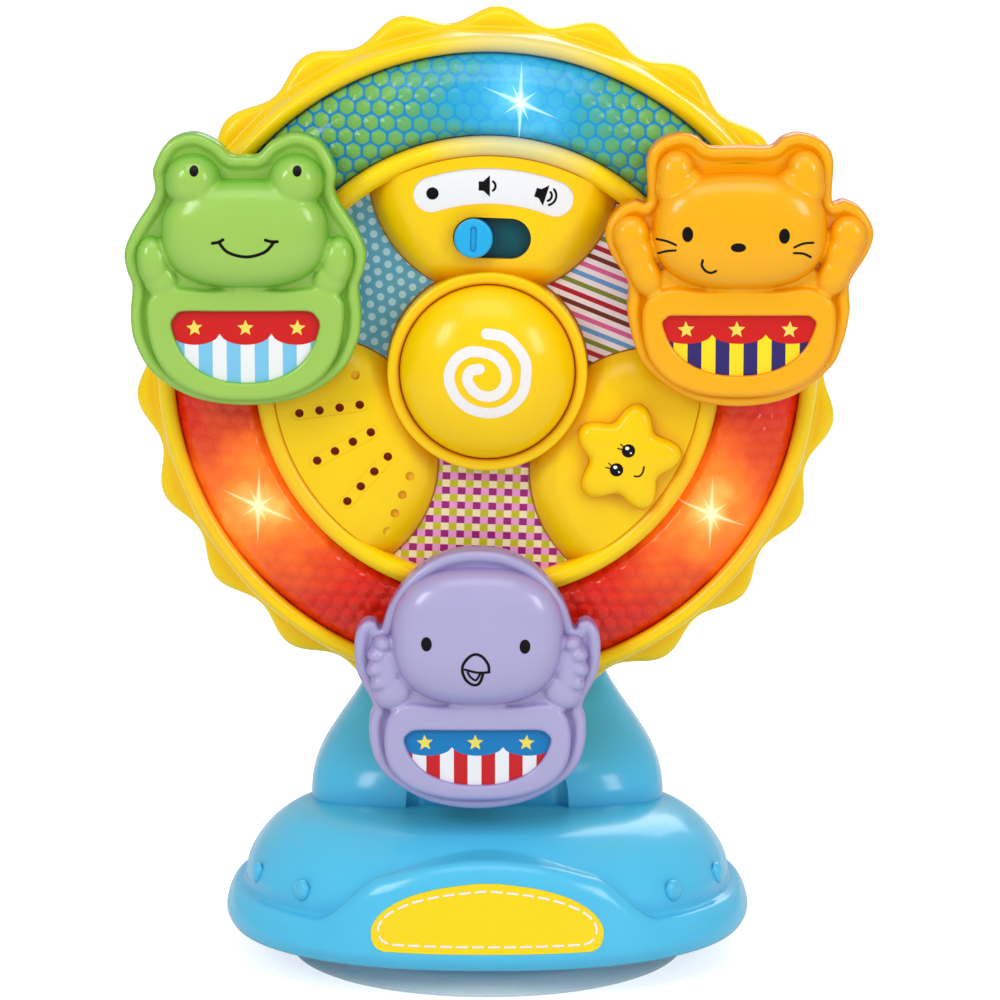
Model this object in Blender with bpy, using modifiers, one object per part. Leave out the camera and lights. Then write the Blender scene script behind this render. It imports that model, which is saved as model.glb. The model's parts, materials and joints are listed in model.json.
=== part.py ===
"""Suction-cup ferris wheel toy: a light-up wheel with three swinging animal gondolas on a stand.

Blender 4.5, metres, +Z up, the toy's face towards -Y. The origin is under the middle of the outline.
Wheel and gondola pieces are drawn face on, in frames whose local +Z points out of the toy's face,
so there a "level" is a distance in front of the back of the scalloped rim.
"""

from math import acos, asin, cos, hypot, pi, radians, sin, tau

import bmesh
import bpy
from mathutils import Matrix

MM = 0.001

# Shared clearances and walls
gap = 0.3 * MM
overrun = 2.0 * MM
shell_wall = 2.4 * MM
weld_distance = 0.001 * MM
flat_angle = radians(0.3)
label_thickness = 0.5 * MM
round_corner_share = 0.29

# Faceting, in steps round a full turn or a loop
fine_steps = 28
medium_steps = 16
small_steps = 12
screw_steps = 6

# Wheel as a whole
axle_height = 160.0 * MM
wheel_turn = radians(2.0)
petal_count = 3

# Scalloped rim
scallop_count = 22
scallop_steps = 4
rim_peak_radius = 93.4 * MM
rim_valley_radius = 89.2 * MM
rim_fold_radius = 88.4 * MM
rim_fold_level = 5.6 * MM
ridge_inner_radius = 82.2 * MM
ridge_outer_radius = 87.5 * MM
ridge_level = 16.8 * MM
ridge_lip = 3.4 * MM
rim_wall = 2.9 * MM
ridge_shoulder_share = 0.93
rim_edge_shares = [(0.96, 0.60), (0.94, 0.00)]

# Light band
lens_thickness = 1.8 * MM
lens_crown_level = 21.4 * MM
lens_steps = 10
lens_crown_shares = [(0.02, 0.22), (0.16, 0.58), (0.46, 0.92), (0.86, 1.00), (1.00, 0.80)]

# Inner bead ring of the front shell
bead_inner_radius = 56.0 * MM
bead_width = 4.6 * MM
bead_level = 22.8 * MM
bead_height = 9.8 * MM
bead_lip = 4.5 * MM
bead_rebate = 1.8 * MM
bead_crown_shares = [(0.93, 0.45), (0.50, 0.00), (0.13, 0.26)]

# Bridges and posts that carry the gondolas
pivot_radius = 73.2 * MM
first_pivot_angle = radians(30)
bridge_width = 15.0 * MM
bridge_level = 19.0 * MM
bridge_thickness = 6.0 * MM
post_radius = 7.0 * MM
post_level = 25.4 * MM
pin_radius = 2.2 * MM
pin_head_radius = 4.2 * MM
pin_head_thickness = 1.5 * MM
pin_depth = 9.0 * MM

# Centre panel with three petals and the hub ring
panel_level = 16.4 * MM
panel_web = 2.4 * MM
petal_radius = 32.5 * MM
petal_centre_radius = 51.5 * MM
petal_level = 23.6 * MM
petal_flat_radius = 22.0 * MM
petal_cavity_radius = 27.0 * MM
petal_wall = 2.3 * MM
petal_rim_wall = 1.2 * MM
petal_steps = 20
petal_edge_shares = [(0.00, 0.03), (0.37, 0.12), (0.74, 0.40), (1.00, 0.82)]
petal_drop = 7.6 * MM
hub_ring_inner_radius = 22.9 * MM
hub_ring_outer_radius = 26.0 * MM
hub_ring_level = 26.0 * MM
hub_ring_shares = [(0.00, 0.20), (0.30, 0.00), (0.80, 0.00), (1.00, 0.30)]
print_thickness = 0.4 * MM
print_steps = 5

# Speaker grille in the lower left petal
grille_rows = 5
grille_holes_per_row = 4
grille_start_radius = 34.4 * MM
grille_hole_radius = 1.15 * MM
grille_pitch = 5.3 * MM
grille_row_spread = radians(13)
grille_heading_spread = radians(20)
grille_dimple_depth = 0.8 * MM
grille_through_rows = 1
speaker_radius = 12.4 * MM
speaker_depth = 11.0 * MM
speaker_rim = 1.6 * MM
speaker_place_radius = 40.0 * MM
speaker_magnet_share = 0.57

# Star button in the lower right petal
star_place_radius = 42.8 * MM
star_mean_radius = 12.1 * MM
star_wave = 2.3 * MM
star_points = 5
star_steps = 30
star_clearance = 0.4 * MM
star_height = 4.4 * MM
star_crown_shares = [(1.00, 0.60), (0.88, 0.88), (0.55, 1.00)]
star_flange_radius = 11.4 * MM
star_flange_thickness = 1.7 * MM
star_stem_radius = 4.0 * MM
star_stem_length = 13.0 * MM

# Volume switch in the top petal
slot_place_radius = 34.7 * MM
slot_length = 20.2 * MM
slot_height = 10.6 * MM
knob_radius = 5.0 * MM
knob_travel = 9.6 * MM
knob_height = 3.4 * MM
knob_round = 0.8 * MM
knob_groove_width = 1.3 * MM
knob_groove_length = 6.6 * MM
knob_groove_depth = 0.5 * MM
slide_plate_thickness = 2.0 * MM
slide_plate_half_length = 15.0 * MM
slide_plate_half_height = 6.3 * MM
switch_label_radius = 48.2 * MM
switch_label_width = 9.4 * MM
switch_label_half_angle = radians(19.5)

# Dome button in the hub
dome_gap = 0.5 * MM
dome_crown = 12.1 * MM
dome_skirt = 4.2 * MM
dome_shell = 2.2 * MM
dome_crown_steps = 4
dome_stem_radius = 6.0 * MM
dome_stem_length = 12.6 * MM
dome_travel = 3.0 * MM

# Wheel back shell, battery compartment and electronics
back_depth = 12.5 * MM
back_corner = 6.0 * MM
boss_radius = 11.0 * MM
boss_depth = 3.0 * MM
back_edge_shares = [(0.30, 0.30), (0.00, 1.00)]
boss_length = 9.0 * MM
screw_place_radius = 64.0 * MM
screw_boss_radius = 4.6 * MM
screw_head_radius = 2.9 * MM
screw_head_height = 1.8 * MM
screw_shank_radius = 1.4 * MM
screw_length = 6.0 * MM
screw_dome_share = 0.8
battery_radius = 5.2 * MM
battery_length = 44.0 * MM
battery_cap_radius = 1.9 * MM
battery_cap_length = 1.0 * MM
battery_count = 3
battery_steps = 10
battery_pitch = 11.0 * MM
battery_place = 42.0 * MM
battery_play = 0.8 * MM
battery_wall = 1.7 * MM
door_thickness = 1.6 * MM
board_radius = 44.0 * MM
board_thickness = 1.6 * MM
board_post_radius = 36.0 * MM
board_post_angles = (radians(55), radians(125))
led_angles = (radians(85), radians(213), radians(329))
led_place_radius = 70.0 * MM
led_radius = 2.5 * MM
led_height = 6.0 * MM
led_base_radius = 3.6 * MM
led_base_thickness = 1.2 * MM
led_post_level = 6.0 * MM
led_tip_share = 0.6

# Axle, bush and clip
axle_radius = 4.0 * MM
axle_head_radius = 7.0 * MM
axle_head_thickness = 2.0 * MM
bush_radius = 8.0 * MM
bush_flange_radius = 10.0 * MM
bush_flange_seat = 0.8 * MM
bush_flange_thickness = 2.0 * MM
bush_length = 13.5 * MM
clip_radius = 7.5 * MM
clip_thickness = 1.2 * MM
axle_tail = 1.5 * MM

# Stand: suction cup, base and neck
cup_radius = 53.0 * MM
cup_lip_width = 6.0 * MM
cup_height = 7.6 * MM
cup_lip_height = 1.0 * MM
cup_steps = 22
cup_hollow = 4.6 * MM
cup_top_shares = [(0.96, 0.24), (0.83, 0.73), (0.50, 0.94)]
cup_hollow_shares = [(0.43, 0.92), (0.85, 0.43), (1.00, 0.00)]
cup_stem_radius = 7.0 * MM
cup_button_radius = 9.0 * MM
cup_button_thickness = 2.2 * MM
retainer_radius = 14.0 * MM
retainer_thickness = 3.0 * MM
base_bottom = 8.3 * MM
base_half_width = 70.8 * MM
base_half_depth = 60.3 * MM
base_plan_power = 2.3
base_plate_thickness = 3.0 * MM
base_steps = 40
skirt_bulge_level = 11.8 * MM
skirt_foot_inset = 1.8 * MM
skirt_top_level = 19.0 * MM
skirt_round = 3.4 * MM
skirt_lean = 0.26
skirt_ledge_low = 9.0 * MM
skirt_ledge_high = 22.0 * MM
dome_steps = 28
dome_hollow_steps = 18
sign_top_level = 36.2 * MM
sign_half_width = 30.0 * MM
sign_shoulder_half_width = 48.0 * MM
sign_arch_drop = 4.8 * MM
dome_top_level = 39.9 * MM
dome_foot_level = 18.0 * MM
dome_half_width = 65.0 * MM
dome_half_depth = 54.0 * MM
rivet_radius = 2.9 * MM
rivet_count = 14
rivet_level = 24.5 * MM
rivet_start_angle = radians(52)
rivet_spacing = radians(19.7)
rivet_flat_share = 0.55
rivet_rings = 4
sign_label_half_width = 30.1 * MM
sign_label_bottom = 13.4 * MM
sign_label_top = 31.0 * MM
sign_label_columns = 8
sign_label_shares = [
    (0.000, 0.900), (0.080, 0.975), (0.290, 1.000), (0.500, 0.935), (0.660, 0.820),
    (0.800, 0.660), (0.920, 0.420), (1.000, 0.100),
]
base_screw_x = 46.0 * MM
base_screw_y = 24.0 * MM
base_boss_top = 29.0 * MM
neck_wall = 2.6 * MM
neck_plan_power = 3.2
neck_hollow_power = 4.5
neck_crown_angles = (radians(35), radians(68))
neck_foot_half_width = 48.0 * MM
neck_foot_front = -11.0 * MM
neck_foot_back = 44.0 * MM
neck_top_half_width = 20.0 * MM
neck_top_front = 16.0 * MM
neck_top_back = 38.0 * MM
neck_split_y = 27.6 * MM
neck_steps = 20
neck_inner_steps = 12
neck_sunk = 10.0 * MM
neck_solid_row_count = 2
tenon_half_width = 30.0 * MM
tenon_front = -6.0 * MM
tenon_back = 34.0 * MM
tenon_rise = 12.0 * MM
recess_half_width = 22.0 * MM
recess_back = -6.5 * MM
recess_corner = 5.0 * MM
neck_screw_half_pitch = 9.0 * MM
neck_screw_height = 120.0 * MM

# Gondolas: levels above the rim's back, shared by all three
gondola_back_level = 25.9 * MM
cover_thickness = 2.0 * MM
plate_level = 34.0 * MM
plate_round = 1.5 * MM
plate_cavity_inset = 2.2 * MM
plate_cavity_level = 31.8 * MM
belly_level = 37.0 * MM
belly_round = 1.4 * MM
window_floor_level = 34.6 * MM
head_level = 42.4 * MM
pin_bore_radius = 2.5 * MM

# Each gondola is drawn in shares of its reach, the distance from its pivot to its lowest edge
frog_reach = 46.3 * MM
cat_reach = 42.2 * MM
bird_reach = 41.4 * MM

# Half outlines, from the top of the middle line round the right side to the bottom
frog_outline_shares = [
    (0.000, 0.393), (0.072, 0.395), (0.150, 0.466), (0.281, 0.516), (0.420, 0.468),
    (0.503, 0.320), (0.500, 0.180), (0.618, -0.015), (0.668, -0.142), (0.655, -0.250),
    (0.628, -0.335), (0.640, -0.500), (0.618, -0.650), (0.518, -0.820), (0.300, -0.955),
    (0.000, -1.000),
]
cat_outline_shares = [
    (0.000, 0.588), (0.180, 0.588), (0.262, 0.645), (0.365, 0.668), (0.492, 0.625),
    (0.562, 0.515), (0.560, 0.262), (0.640, 0.262), (0.745, 0.205), (0.812, 0.080),
    (0.785, -0.050), (0.680, -0.225), (0.672, -0.320), (0.676, -0.420), (0.640, -0.600),
    (0.560, -0.765), (0.320, -0.942), (0.000, -1.000),
]
bird_outline_shares = [
    (0.000, 0.665), (0.220, 0.630), (0.412, 0.510), (0.545, 0.330), (0.608, 0.165),
    (0.645, 0.205), (0.705, 0.212), (0.762, 0.145), (0.775, 0.030), (0.755, -0.125),
    (0.662, -0.318), (0.682, -0.420), (0.682, -0.550), (0.640, -0.700), (0.535, -0.825),
    (0.300, -0.955), (0.000, -1.000),
]

# Heads and the lobes beside them: (x, y, half width, half height, turn in degrees, level share)
frog_head_shares = (0.0, -0.036, 0.464, 0.302)
cat_head_shares = (0.0, 0.081, 0.531, 0.356)
bird_head_shares = (0.0, 0.120, 0.545, 0.438)
frog_lobe_shares = [
    (0.285, 0.250, 0.156, 0.156, 0, 0.82),
    (0.522, -0.195, 0.075, 0.145, -8, 0.42),
]
cat_lobe_shares = [
    (0.372, 0.395, 0.150, 0.170, 10, 0.50),
    (0.664, 0.055, 0.108, 0.122, 0, 0.42),
    (0.612, -0.125, 0.084, 0.175, -22, 0.36),
]
bird_lobe_shares = [
    (0.609, -0.085, 0.080, 0.212, -5, 0.46),
]

# Belly panel: half width, widest height, top height, top corner half width; then the label window
frog_belly_shares = (0.551, -0.480, -0.331, 0.410, -0.970)
cat_belly_shares = (0.592, -0.490, -0.262, 0.420, -0.938)
bird_belly_shares = (0.592, -0.565, -0.305, 0.450, -0.935)
frog_window_shares = (0.410, -0.551, -0.466, 0.345, -0.865)
cat_window_shares = (0.466, -0.485, -0.434, 0.420, -0.801)
bird_window_shares = (0.461, -0.551, -0.476, 0.380, -0.832)
belly_ripple_share = 0.016
belly_shoulder_share = 0.97
belly_curve_shares = [(0.93, 0.45), (0.72, 0.78), (0.38, 0.96)]
window_curve_shares = [(0.87, 0.45), (0.65, 0.76), (0.34, 0.95)]
head_sink = 1.1 * MM
lobe_sink = 0.8 * MM
head_power_share = 0.85
outline_steps = 1
cavity_steps = 1
belly_steps = 1

# Dome sections: height, width, depth. Neck sections: height, then widening, front and back shares
dome_section_shares = [
    (0.00, 1.000, 1.000), (0.26, 0.997, 0.990), (0.52, 0.950, 0.925), (0.74, 0.880, 0.820),
    (0.92, 0.780, 0.640), (1.00, 0.600, 0.400),
]
neck_section_shares = [
    (0.000, 1.000, 1.000, 1.000), (0.045, 0.975, 0.963, 1.000), (0.092, 0.893, 0.852, 0.950),
    (0.142, 0.750, 0.593, 0.880), (0.195, 0.580, 0.280, 0.800), (0.260, 0.420, 0.030, 0.630),
    (0.420, 0.130, 0.000, 0.400), (0.700, 0.000, 0.000, 0.130), (1.000, 0.000, 0.000, 0.000),
]

# Material colours: base colour, roughness, metallic
colours = {
    "rim_yellow": ((1.0, 0.78, 0.01, 1), 0.25, 0),
    "panel_yellow": ((0.98, 0.67, 0.01, 1), 0.28, 0),
    "lens_blue": ((0.02, 0.45, 0.62, 1), 0.15, 0),
    "lens_red": ((0.80, 0.06, 0.02, 1), 0.15, 0),
    "base_blue": ((0.08, 0.50, 0.80, 1), 0.25, 0),
    "knob_blue": ((0.02, 0.44, 0.78, 1), 0.3, 0),
    "frog_green": ((0.36, 0.70, 0.12, 1), 0.3, 0),
    "cat_orange": ((0.98, 0.50, 0.01, 1), 0.3, 0),
    "bird_lilac": ((0.48, 0.40, 0.72, 1), 0.3, 0),
    "paper": ((0.85, 0.85, 0.85, 1), 0.5, 0),
    "clear_rubber": ((0.75, 0.80, 0.82, 1), 0.35, 0),
    "white_plastic": ((0.80, 0.80, 0.78, 1), 0.4, 0),
    "board_green": ((0.03, 0.25, 0.08, 1), 0.5, 0),
    "dark_cone": ((0.03, 0.03, 0.03, 1), 0.7, 0),
    "battery_can": ((0.55, 0.57, 0.60, 1), 0.35, 1),
    "steel": ((0.60, 0.60, 0.62, 1), 0.3, 1),
}


# Derived places

shell_pivots = [first_pivot_angle + i * tau / petal_count for i in range(petal_count)]
petal_angles = [pi / 2 + i * tau / petal_count for i in range(petal_count)]
gondola_bearings = {"cat": shell_pivots[0], "frog": shell_pivots[1], "bird": shell_pivots[2]}
cat_half_width = cat_reach * max(x for x, _ in cat_outline_shares)
cat_edge_x = pivot_radius * cos(first_pivot_angle - wheel_turn) + cat_half_width
stand_x = -(cat_edge_x - rim_peak_radius) / 2
panel_radius = bead_inner_radius - gap
cover_level = gondola_back_level + cover_thickness
front_back_level = cover_level + gap
boss_end_level = -back_depth - boss_depth
bush_front_y = back_depth + boss_depth + gap
battery_floor = -back_depth + door_thickness + gap
battery_top = battery_floor + 2 * battery_radius + gap
board_level = battery_top + battery_wall + gap
petal_cavity_level = petal_level - petal_wall
slide_top_level = petal_cavity_level - gap - gap / 2
cavity_inner_radius = hub_ring_outer_radius + gap
print_level = panel_level + gap
dome_base_level = panel_level + dome_travel + gap
star_base_level = petal_cavity_level - gap - star_flange_thickness
base_plate_top = base_bottom + base_plate_thickness
retainer_level = base_plate_top + gap
cup_button_level = retainer_level + retainer_thickness + gap
tenon_bottom = cup_button_level + cup_button_thickness + overrun
recess_inner = recess_back + neck_wall
bush_end_y = bush_front_y + bush_length


# Scene helpers

def clear_scene():
    for obj in list(bpy.data.objects):
        bpy.data.objects.remove(obj, do_unlink=True)


def new_collection(name):
    collection = bpy.data.collections.new(name)
    bpy.context.scene.collection.children.link(collection)
    return collection


def make_material(name):
    colour, roughness, metallic = colours[name]
    material = bpy.data.materials.new(name)
    material.use_nodes = True
    shader = material.node_tree.nodes["Principled BSDF"]
    shader.inputs["Base Color"].default_value = colour
    shader.inputs["Roughness"].default_value = roughness
    shader.inputs["Metallic"].default_value = metallic
    material.diffuse_color = colour
    return material


clear_scene()
parts = new_collection("ferris_wheel_toy")
helpers = new_collection("cutters")
materials = {name: make_material(name) for name in colours}


def empty(name, location, rotation=(0, 0, 0), parent=None):
    frame = bpy.data.objects.new(name, None)
    frame.location = location
    frame.rotation_euler = rotation
    frame.parent = parent
    parts.objects.link(frame)
    return frame


def solid(name, bm):
    """A mesh object from a bmesh, with faces pointing out, not yet shown as a part."""
    bmesh.ops.remove_doubles(bm, verts=bm.verts, dist=weld_distance)
    bmesh.ops.recalc_face_normals(bm, faces=bm.faces)
    mesh = bpy.data.meshes.new(name)
    bm.to_mesh(mesh)
    bm.free()
    mesh.shade_smooth()
    mesh.set_sharp_from_angle(angle=radians(35))
    obj = bpy.data.objects.new(name, mesh)
    helpers.objects.link(obj)
    obj.hide_render = True
    obj.display_type = "WIRE"
    return obj


def from_evaluated(obj, flatten=False):
    """Bakes an object's curve, modifiers and placement into a closed mesh. Flatten merges flat faces."""
    bpy.context.view_layer.update()
    mesh = bpy.data.meshes.new_from_object(obj.evaluated_get(bpy.context.evaluated_depsgraph_get()))
    mesh.transform(obj.matrix_world)
    bm = bmesh.new()
    bm.from_mesh(mesh)
    bpy.data.meshes.remove(mesh)
    name = obj.name
    bpy.data.objects.remove(obj, do_unlink=True)
    if flatten:
        bmesh.ops.remove_doubles(bm, verts=bm.verts, dist=weld_distance)
        bmesh.ops.dissolve_limit(bm, angle_limit=flat_angle, verts=bm.verts, edges=bm.edges)
    return solid(name, bm)


def show(obj, material, parent, location=(0, 0, 0), rotation=(0, 0, 0)):
    """Makes a finished solid one of the object's parts."""
    helpers.objects.unlink(obj)
    parts.objects.link(obj)
    obj.hide_render = False
    obj.display_type = "TEXTURED"
    obj.data.materials.clear()
    obj.data.materials.append(materials[material])
    obj.parent = parent
    obj.location = location
    obj.rotation_euler = rotation
    return obj


def place(obj, location=(0, 0, 0), turn=0):
    obj.location = location
    obj.rotation_euler = (0, 0, turn)
    return obj


def boolean(obj, others, operation):
    """Adds or cuts the other solids, which follow the same frame as the object."""
    for other in others:
        modifier = obj.modifiers.new(other.name, "BOOLEAN")
        modifier.operation = operation
        modifier.object = other
        modifier.solver = "EXACT"
    result = from_evaluated(obj, flatten=True)
    for other in others:
        bpy.data.objects.remove(other, do_unlink=True)
    return result


def join(obj, *others):
    return boolean(obj, others, "UNION")


def cut(obj, *others):
    return boolean(obj, others, "DIFFERENCE")


def overlap(obj, *others):
    return boolean(obj, others, "INTERSECT")


# Shape helpers

def turned(name, profile, steps):
    """A solid of revolution about local Z from (radius, level) points. A profile off the axis is a ring."""
    ring = min(r for r, _ in profile) > 0
    mesh = bpy.data.meshes.new(name)
    points = [(r, 0, level) for r, level in profile]
    edges = [(i, i + 1) for i in range(len(points) - 1)]
    if ring:
        edges.append((len(points) - 1, 0))
    mesh.from_pydata(points, edges, [])
    obj = bpy.data.objects.new(name, mesh)
    helpers.objects.link(obj)
    screw = obj.modifiers.new("turn", "SCREW")
    screw.steps = steps
    screw.render_steps = steps
    screw.use_merge_vertices = True
    screw.merge_threshold = weld_distance
    return from_evaluated(obj)


def cylinder(name, radius, low, high, steps=small_steps, centre=(0, 0)):
    bm = bmesh.new()
    bmesh.ops.create_cone(
        bm, cap_ends=True, segments=steps, radius1=radius, radius2=radius, depth=high - low,
        matrix=Matrix.Rotation(-pi / 2, 4, "Z"),
    )
    middle = (centre[0], centre[1], (low + high) / 2)
    bmesh.ops.translate(bm, verts=bm.verts, vec=middle)
    return solid(name, bm)


def box(name, x_range, y_range, z_range):
    bm = bmesh.new()
    bmesh.ops.create_cube(bm, size=1)
    spans = (x_range, y_range, z_range)
    bmesh.ops.scale(bm, verts=bm.verts, vec=[high - low for low, high in spans])
    bmesh.ops.translate(bm, verts=bm.verts, vec=[(low + high) / 2 for low, high in spans])
    return solid(name, bm)


def prism(name, outline, low, high):
    """A flat outline drawn in local XY, thickened from one level to another."""
    curve = bpy.data.curves.new(name, "CURVE")
    curve.dimensions = "2D"
    curve.fill_mode = "BOTH"
    curve.extrude = (high - low) / 2
    spline = curve.splines.new("POLY")
    spline.points.add(len(outline) - 1)
    for point, (x, y) in zip(spline.points, outline):
        point.co = (x, y, 0, 1)
    spline.use_cyclic_u = True
    obj = bpy.data.objects.new(name, curve)
    helpers.objects.link(obj)
    result = from_evaluated(obj)
    middle = (low + high) / 2
    for vertex in result.data.vertices:
        vertex.co.z += middle
    return result


def rounded_slab(name, outline, low, high, radius):
    """A thickened outline whose front edge is rounded in two facets."""
    corner = radius * round_corner_share
    levels = [(0, low), (0, high - radius), (corner, high - corner), (radius, high)]
    return skin(name, [
        [(x, y, level) for x, y in (inset_loop(outline, inset) if inset else outline)]
        for inset, level in levels
    ])


def skin(name, loops, ring=False):
    """A solid lofted through loops of equal count. A ring closes on itself and needs no ends."""
    bm = bmesh.new()
    rows = [[bm.verts.new(point) for point in loop] for loop in loops]
    pairs = list(zip(rows, rows[1:]))
    if ring:
        pairs.append((rows[-1], rows[0]))
    else:
        bm.faces.new(rows[0])
        bm.faces.new(rows[-1])
    for low, high in pairs:
        for i in range(len(low)):
            j = (i + 1) % len(low)
            bm.faces.new((low[i], low[j], high[j], high[i]))
    return solid(name, bm)


def cushion(name, half_width, half_height, crest, level, sink, power=1, segments=16, rings=8):
    """A pillow: the upper half of a ball pressed towards a rounded rectangle, on a flat foot."""
    bm = bmesh.new()
    bmesh.ops.create_uvsphere(bm, u_segments=segments, v_segments=rings, radius=1)
    for vertex in bm.verts:
        x, y, z = vertex.co
        flat = hypot(x, y)
        if flat > weld_distance:
            c, s = x / flat, y / flat
            stretch = (abs(c) ** (2 / power) + abs(s) ** (2 / power)) ** (-power / 2)
            x, y = x * stretch, y * stretch
        lift = z * (crest - level) if z > weld_distance else -sink
        vertex.co = (x * half_width, y * half_height, level + lift)
    return solid(name, bm)


def superellipse(half_x, half_y, power, steps):
    """Points of a rounded rectangle, from the right side and anticlockwise."""
    points = []
    for i in range(steps):
        angle = tau * i / steps
        c, s = cos(angle), sin(angle)
        x = half_x * abs(c) ** (2 / power) * (1 if c >= 0 else -1)
        y = half_y * abs(s) ** (2 / power) * (1 if s >= 0 else -1)
        points.append((x, y))
    return points


def smooth_loop(points, per_span):
    """A closed curve through the points, each span cut into equal parts."""
    result = []
    count = len(points)
    for i in range(count):
        before, start, end, after = (points[(i + k - 1) % count] for k in range(4))
        for step in range(per_span):
            t = step / per_span
            weights = (
                (-t + 2 * t ** 2 - t ** 3) / 2,
                (2 - 5 * t ** 2 + 3 * t ** 3) / 2,
                (t + 4 * t ** 2 - 3 * t ** 3) / 2,
                (-(t ** 2) + t ** 3) / 2,
            )
            near = (before, start, end, after)
            result.append(tuple(sum(w * p[k] for w, p in zip(weights, near)) for k in range(2)))
    return result


def mirrored_loop(half, scale, per_span):
    """A smooth symmetric outline from its right half, given in shares of one size."""
    right = [(x * scale, y * scale) for x, y in half]
    left = [(-x, y) for x, y in reversed(right[1:-1])]
    return smooth_loop(right + left, per_span)


def inset_loop(points, distance):
    """Moves a loop inwards along its normals."""
    area = sum(a[0] * b[1] - b[0] * a[1] for a, b in zip(points, points[1:] + points[:1]))
    side = 1 if area > 0 else -1
    result = []
    for i, (x, y) in enumerate(points):
        x0, y0 = points[i - 1]
        x1, y1 = points[(i + 1) % len(points)]
        length = hypot(x1 - x0, y1 - y0)
        result.append((x - side * distance * (y1 - y0) / length, y + side * distance * (x1 - x0) / length))
    return result


def polar(radius, angle):
    return (radius * cos(angle), radius * sin(angle))


def stadium(length, height, steps):
    """A slot outline with half-round ends, centred on the origin."""
    reach = (length - height) / 2
    right = [(reach + height / 2 * cos(a), height / 2 * sin(a)) for a in arc(-pi / 2, pi / 2, steps)]
    return right + [(-x, -y) for x, y in right]


def arc(start, end, steps):
    return [start + (end - start) * i / steps for i in range(steps + 1)]


# Wheel shells

def rim_profile(bearing):
    """The front shell's outer section at one bearing: ridge beside the light band, fold and wavy edge."""
    lip = ridge_level - ridge_lip
    bore = ridge_inner_radius + rim_wall
    crest = (ridge_inner_radius + ridge_outer_radius) / 2
    shoulder = ridge_level * ridge_shoulder_share
    mean = (rim_peak_radius + rim_valley_radius) / 2
    wave = (rim_peak_radius - rim_valley_radius) / 2
    reach = mean + wave * cos(scallop_count * (bearing - pi / 2)) - rim_fold_radius
    profile = [
        (ridge_inner_radius, lip),
        (ridge_inner_radius, shoulder),
        (crest, ridge_level),
        (ridge_outer_radius, ridge_level / 2),
        (rim_fold_radius, rim_fold_level),
    ]
    profile += [(rim_fold_radius + reach * r, rim_fold_level * level) for r, level in rim_edge_shares]
    return profile + [(bore, 0), (bore, lip)]


def rim_ring():
    steps = scallop_count * scallop_steps
    loops = []
    for i in range(steps):
        bearing = tau * i / steps + pi / 2
        loops.append([(*polar(r, bearing), level) for r, level in rim_profile(bearing)])
    return skin("wheel_front_shell", loops, ring=True)


def bead_ring():
    outer = bead_inner_radius + bead_width
    low = bead_level - bead_height
    foot = bead_level - bead_lip
    crown = [(bead_inner_radius + bead_width * r, bead_level - bead_lip * d) for r, d in bead_crown_shares]
    profile = [
        (outer, foot), *crown, (bead_inner_radius, foot), (bead_inner_radius, low),
        (outer - bead_rebate, low), (outer - bead_rebate, foot - bead_rebate),
    ]
    return turned("bead_ring", profile, fine_steps)


def front_shell(wheel):
    """Scalloped rim, bead ring and the three bridges that carry the gondola posts, moulded as one."""
    pieces = [bead_ring()]
    holes = []
    bore = ridge_inner_radius + rim_wall
    inner = bead_inner_radius + bead_width / 2
    bar_back = bridge_level - bridge_thickness
    for bearing in shell_pivots:
        half = bridge_width / 2
        bar = box("bridge", (inner, bore + rim_wall / 2), (-half, half), (bar_back, bridge_level))
        post = cylinder("post", post_radius, bar_back + gap, post_level, medium_steps)
        pieces += [place(bar, turn=bearing), place(post, (*polar(pivot_radius, bearing), 0))]
        pin_hole = cylinder("pin_hole", pin_bore_radius, post_level - pin_depth - gap, post_level + overrun)
        screw_hole = cylinder(
            "screw_hole", screw_shank_radius + gap, bar_back - overrun, bridge_level - overrun, screw_steps
        )
        holes.append(place(pin_hole, (*polar(pivot_radius, bearing), 0)))
        holes.append(place(screw_hole, (*polar(screw_place_radius, bearing), 0)))
    show(cut(join(rim_ring(), *pieces), *holes), "rim_yellow", wheel)


def lens_profile():
    """Section of the light band: a crown between its two ledges, as (radius, level)."""
    outer = ridge_inner_radius + rim_wall - gap
    inner = bead_inner_radius + bead_width - bead_rebate + 2 * gap
    outer_level = ridge_level - ridge_lip - gap
    inner_level = bead_level - bead_lip - bead_rebate - gap
    start = ridge_inner_radius - gap
    end = bead_inner_radius + bead_width + 2 * gap
    rise = lens_crown_level - outer_level
    crown = [(start + (end - start) * across, outer_level + rise * up) for across, up in lens_crown_shares]
    top = [(outer, outer_level), (start, outer_level), *crown, (end, inner_level), (inner, inner_level)]
    under = [(inner, inner_level - lens_thickness), (end + lens_thickness, inner_level - lens_thickness)]
    under += [(r, level - lens_thickness) for r, level in reversed(crown[1:-1])]
    under += [(start - lens_thickness, outer_level - lens_thickness), (outer, outer_level - lens_thickness)]
    return top + under


def lens_segment(name, bearing, material, wheel):
    """One third of the light band. Its ends run parallel to the bridges beside it."""
    offset = bridge_width / 2 + gap
    loops = []
    for share in arc(-1, 1, lens_steps):
        loop = []
        for r, level in lens_profile():
            angle = bearing + share * (pi / petal_count - asin(offset / r))
            loop.append((*polar(r, angle), level))
        loops.append(loop)
    show(skin(name, loops), material, wheel)


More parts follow.
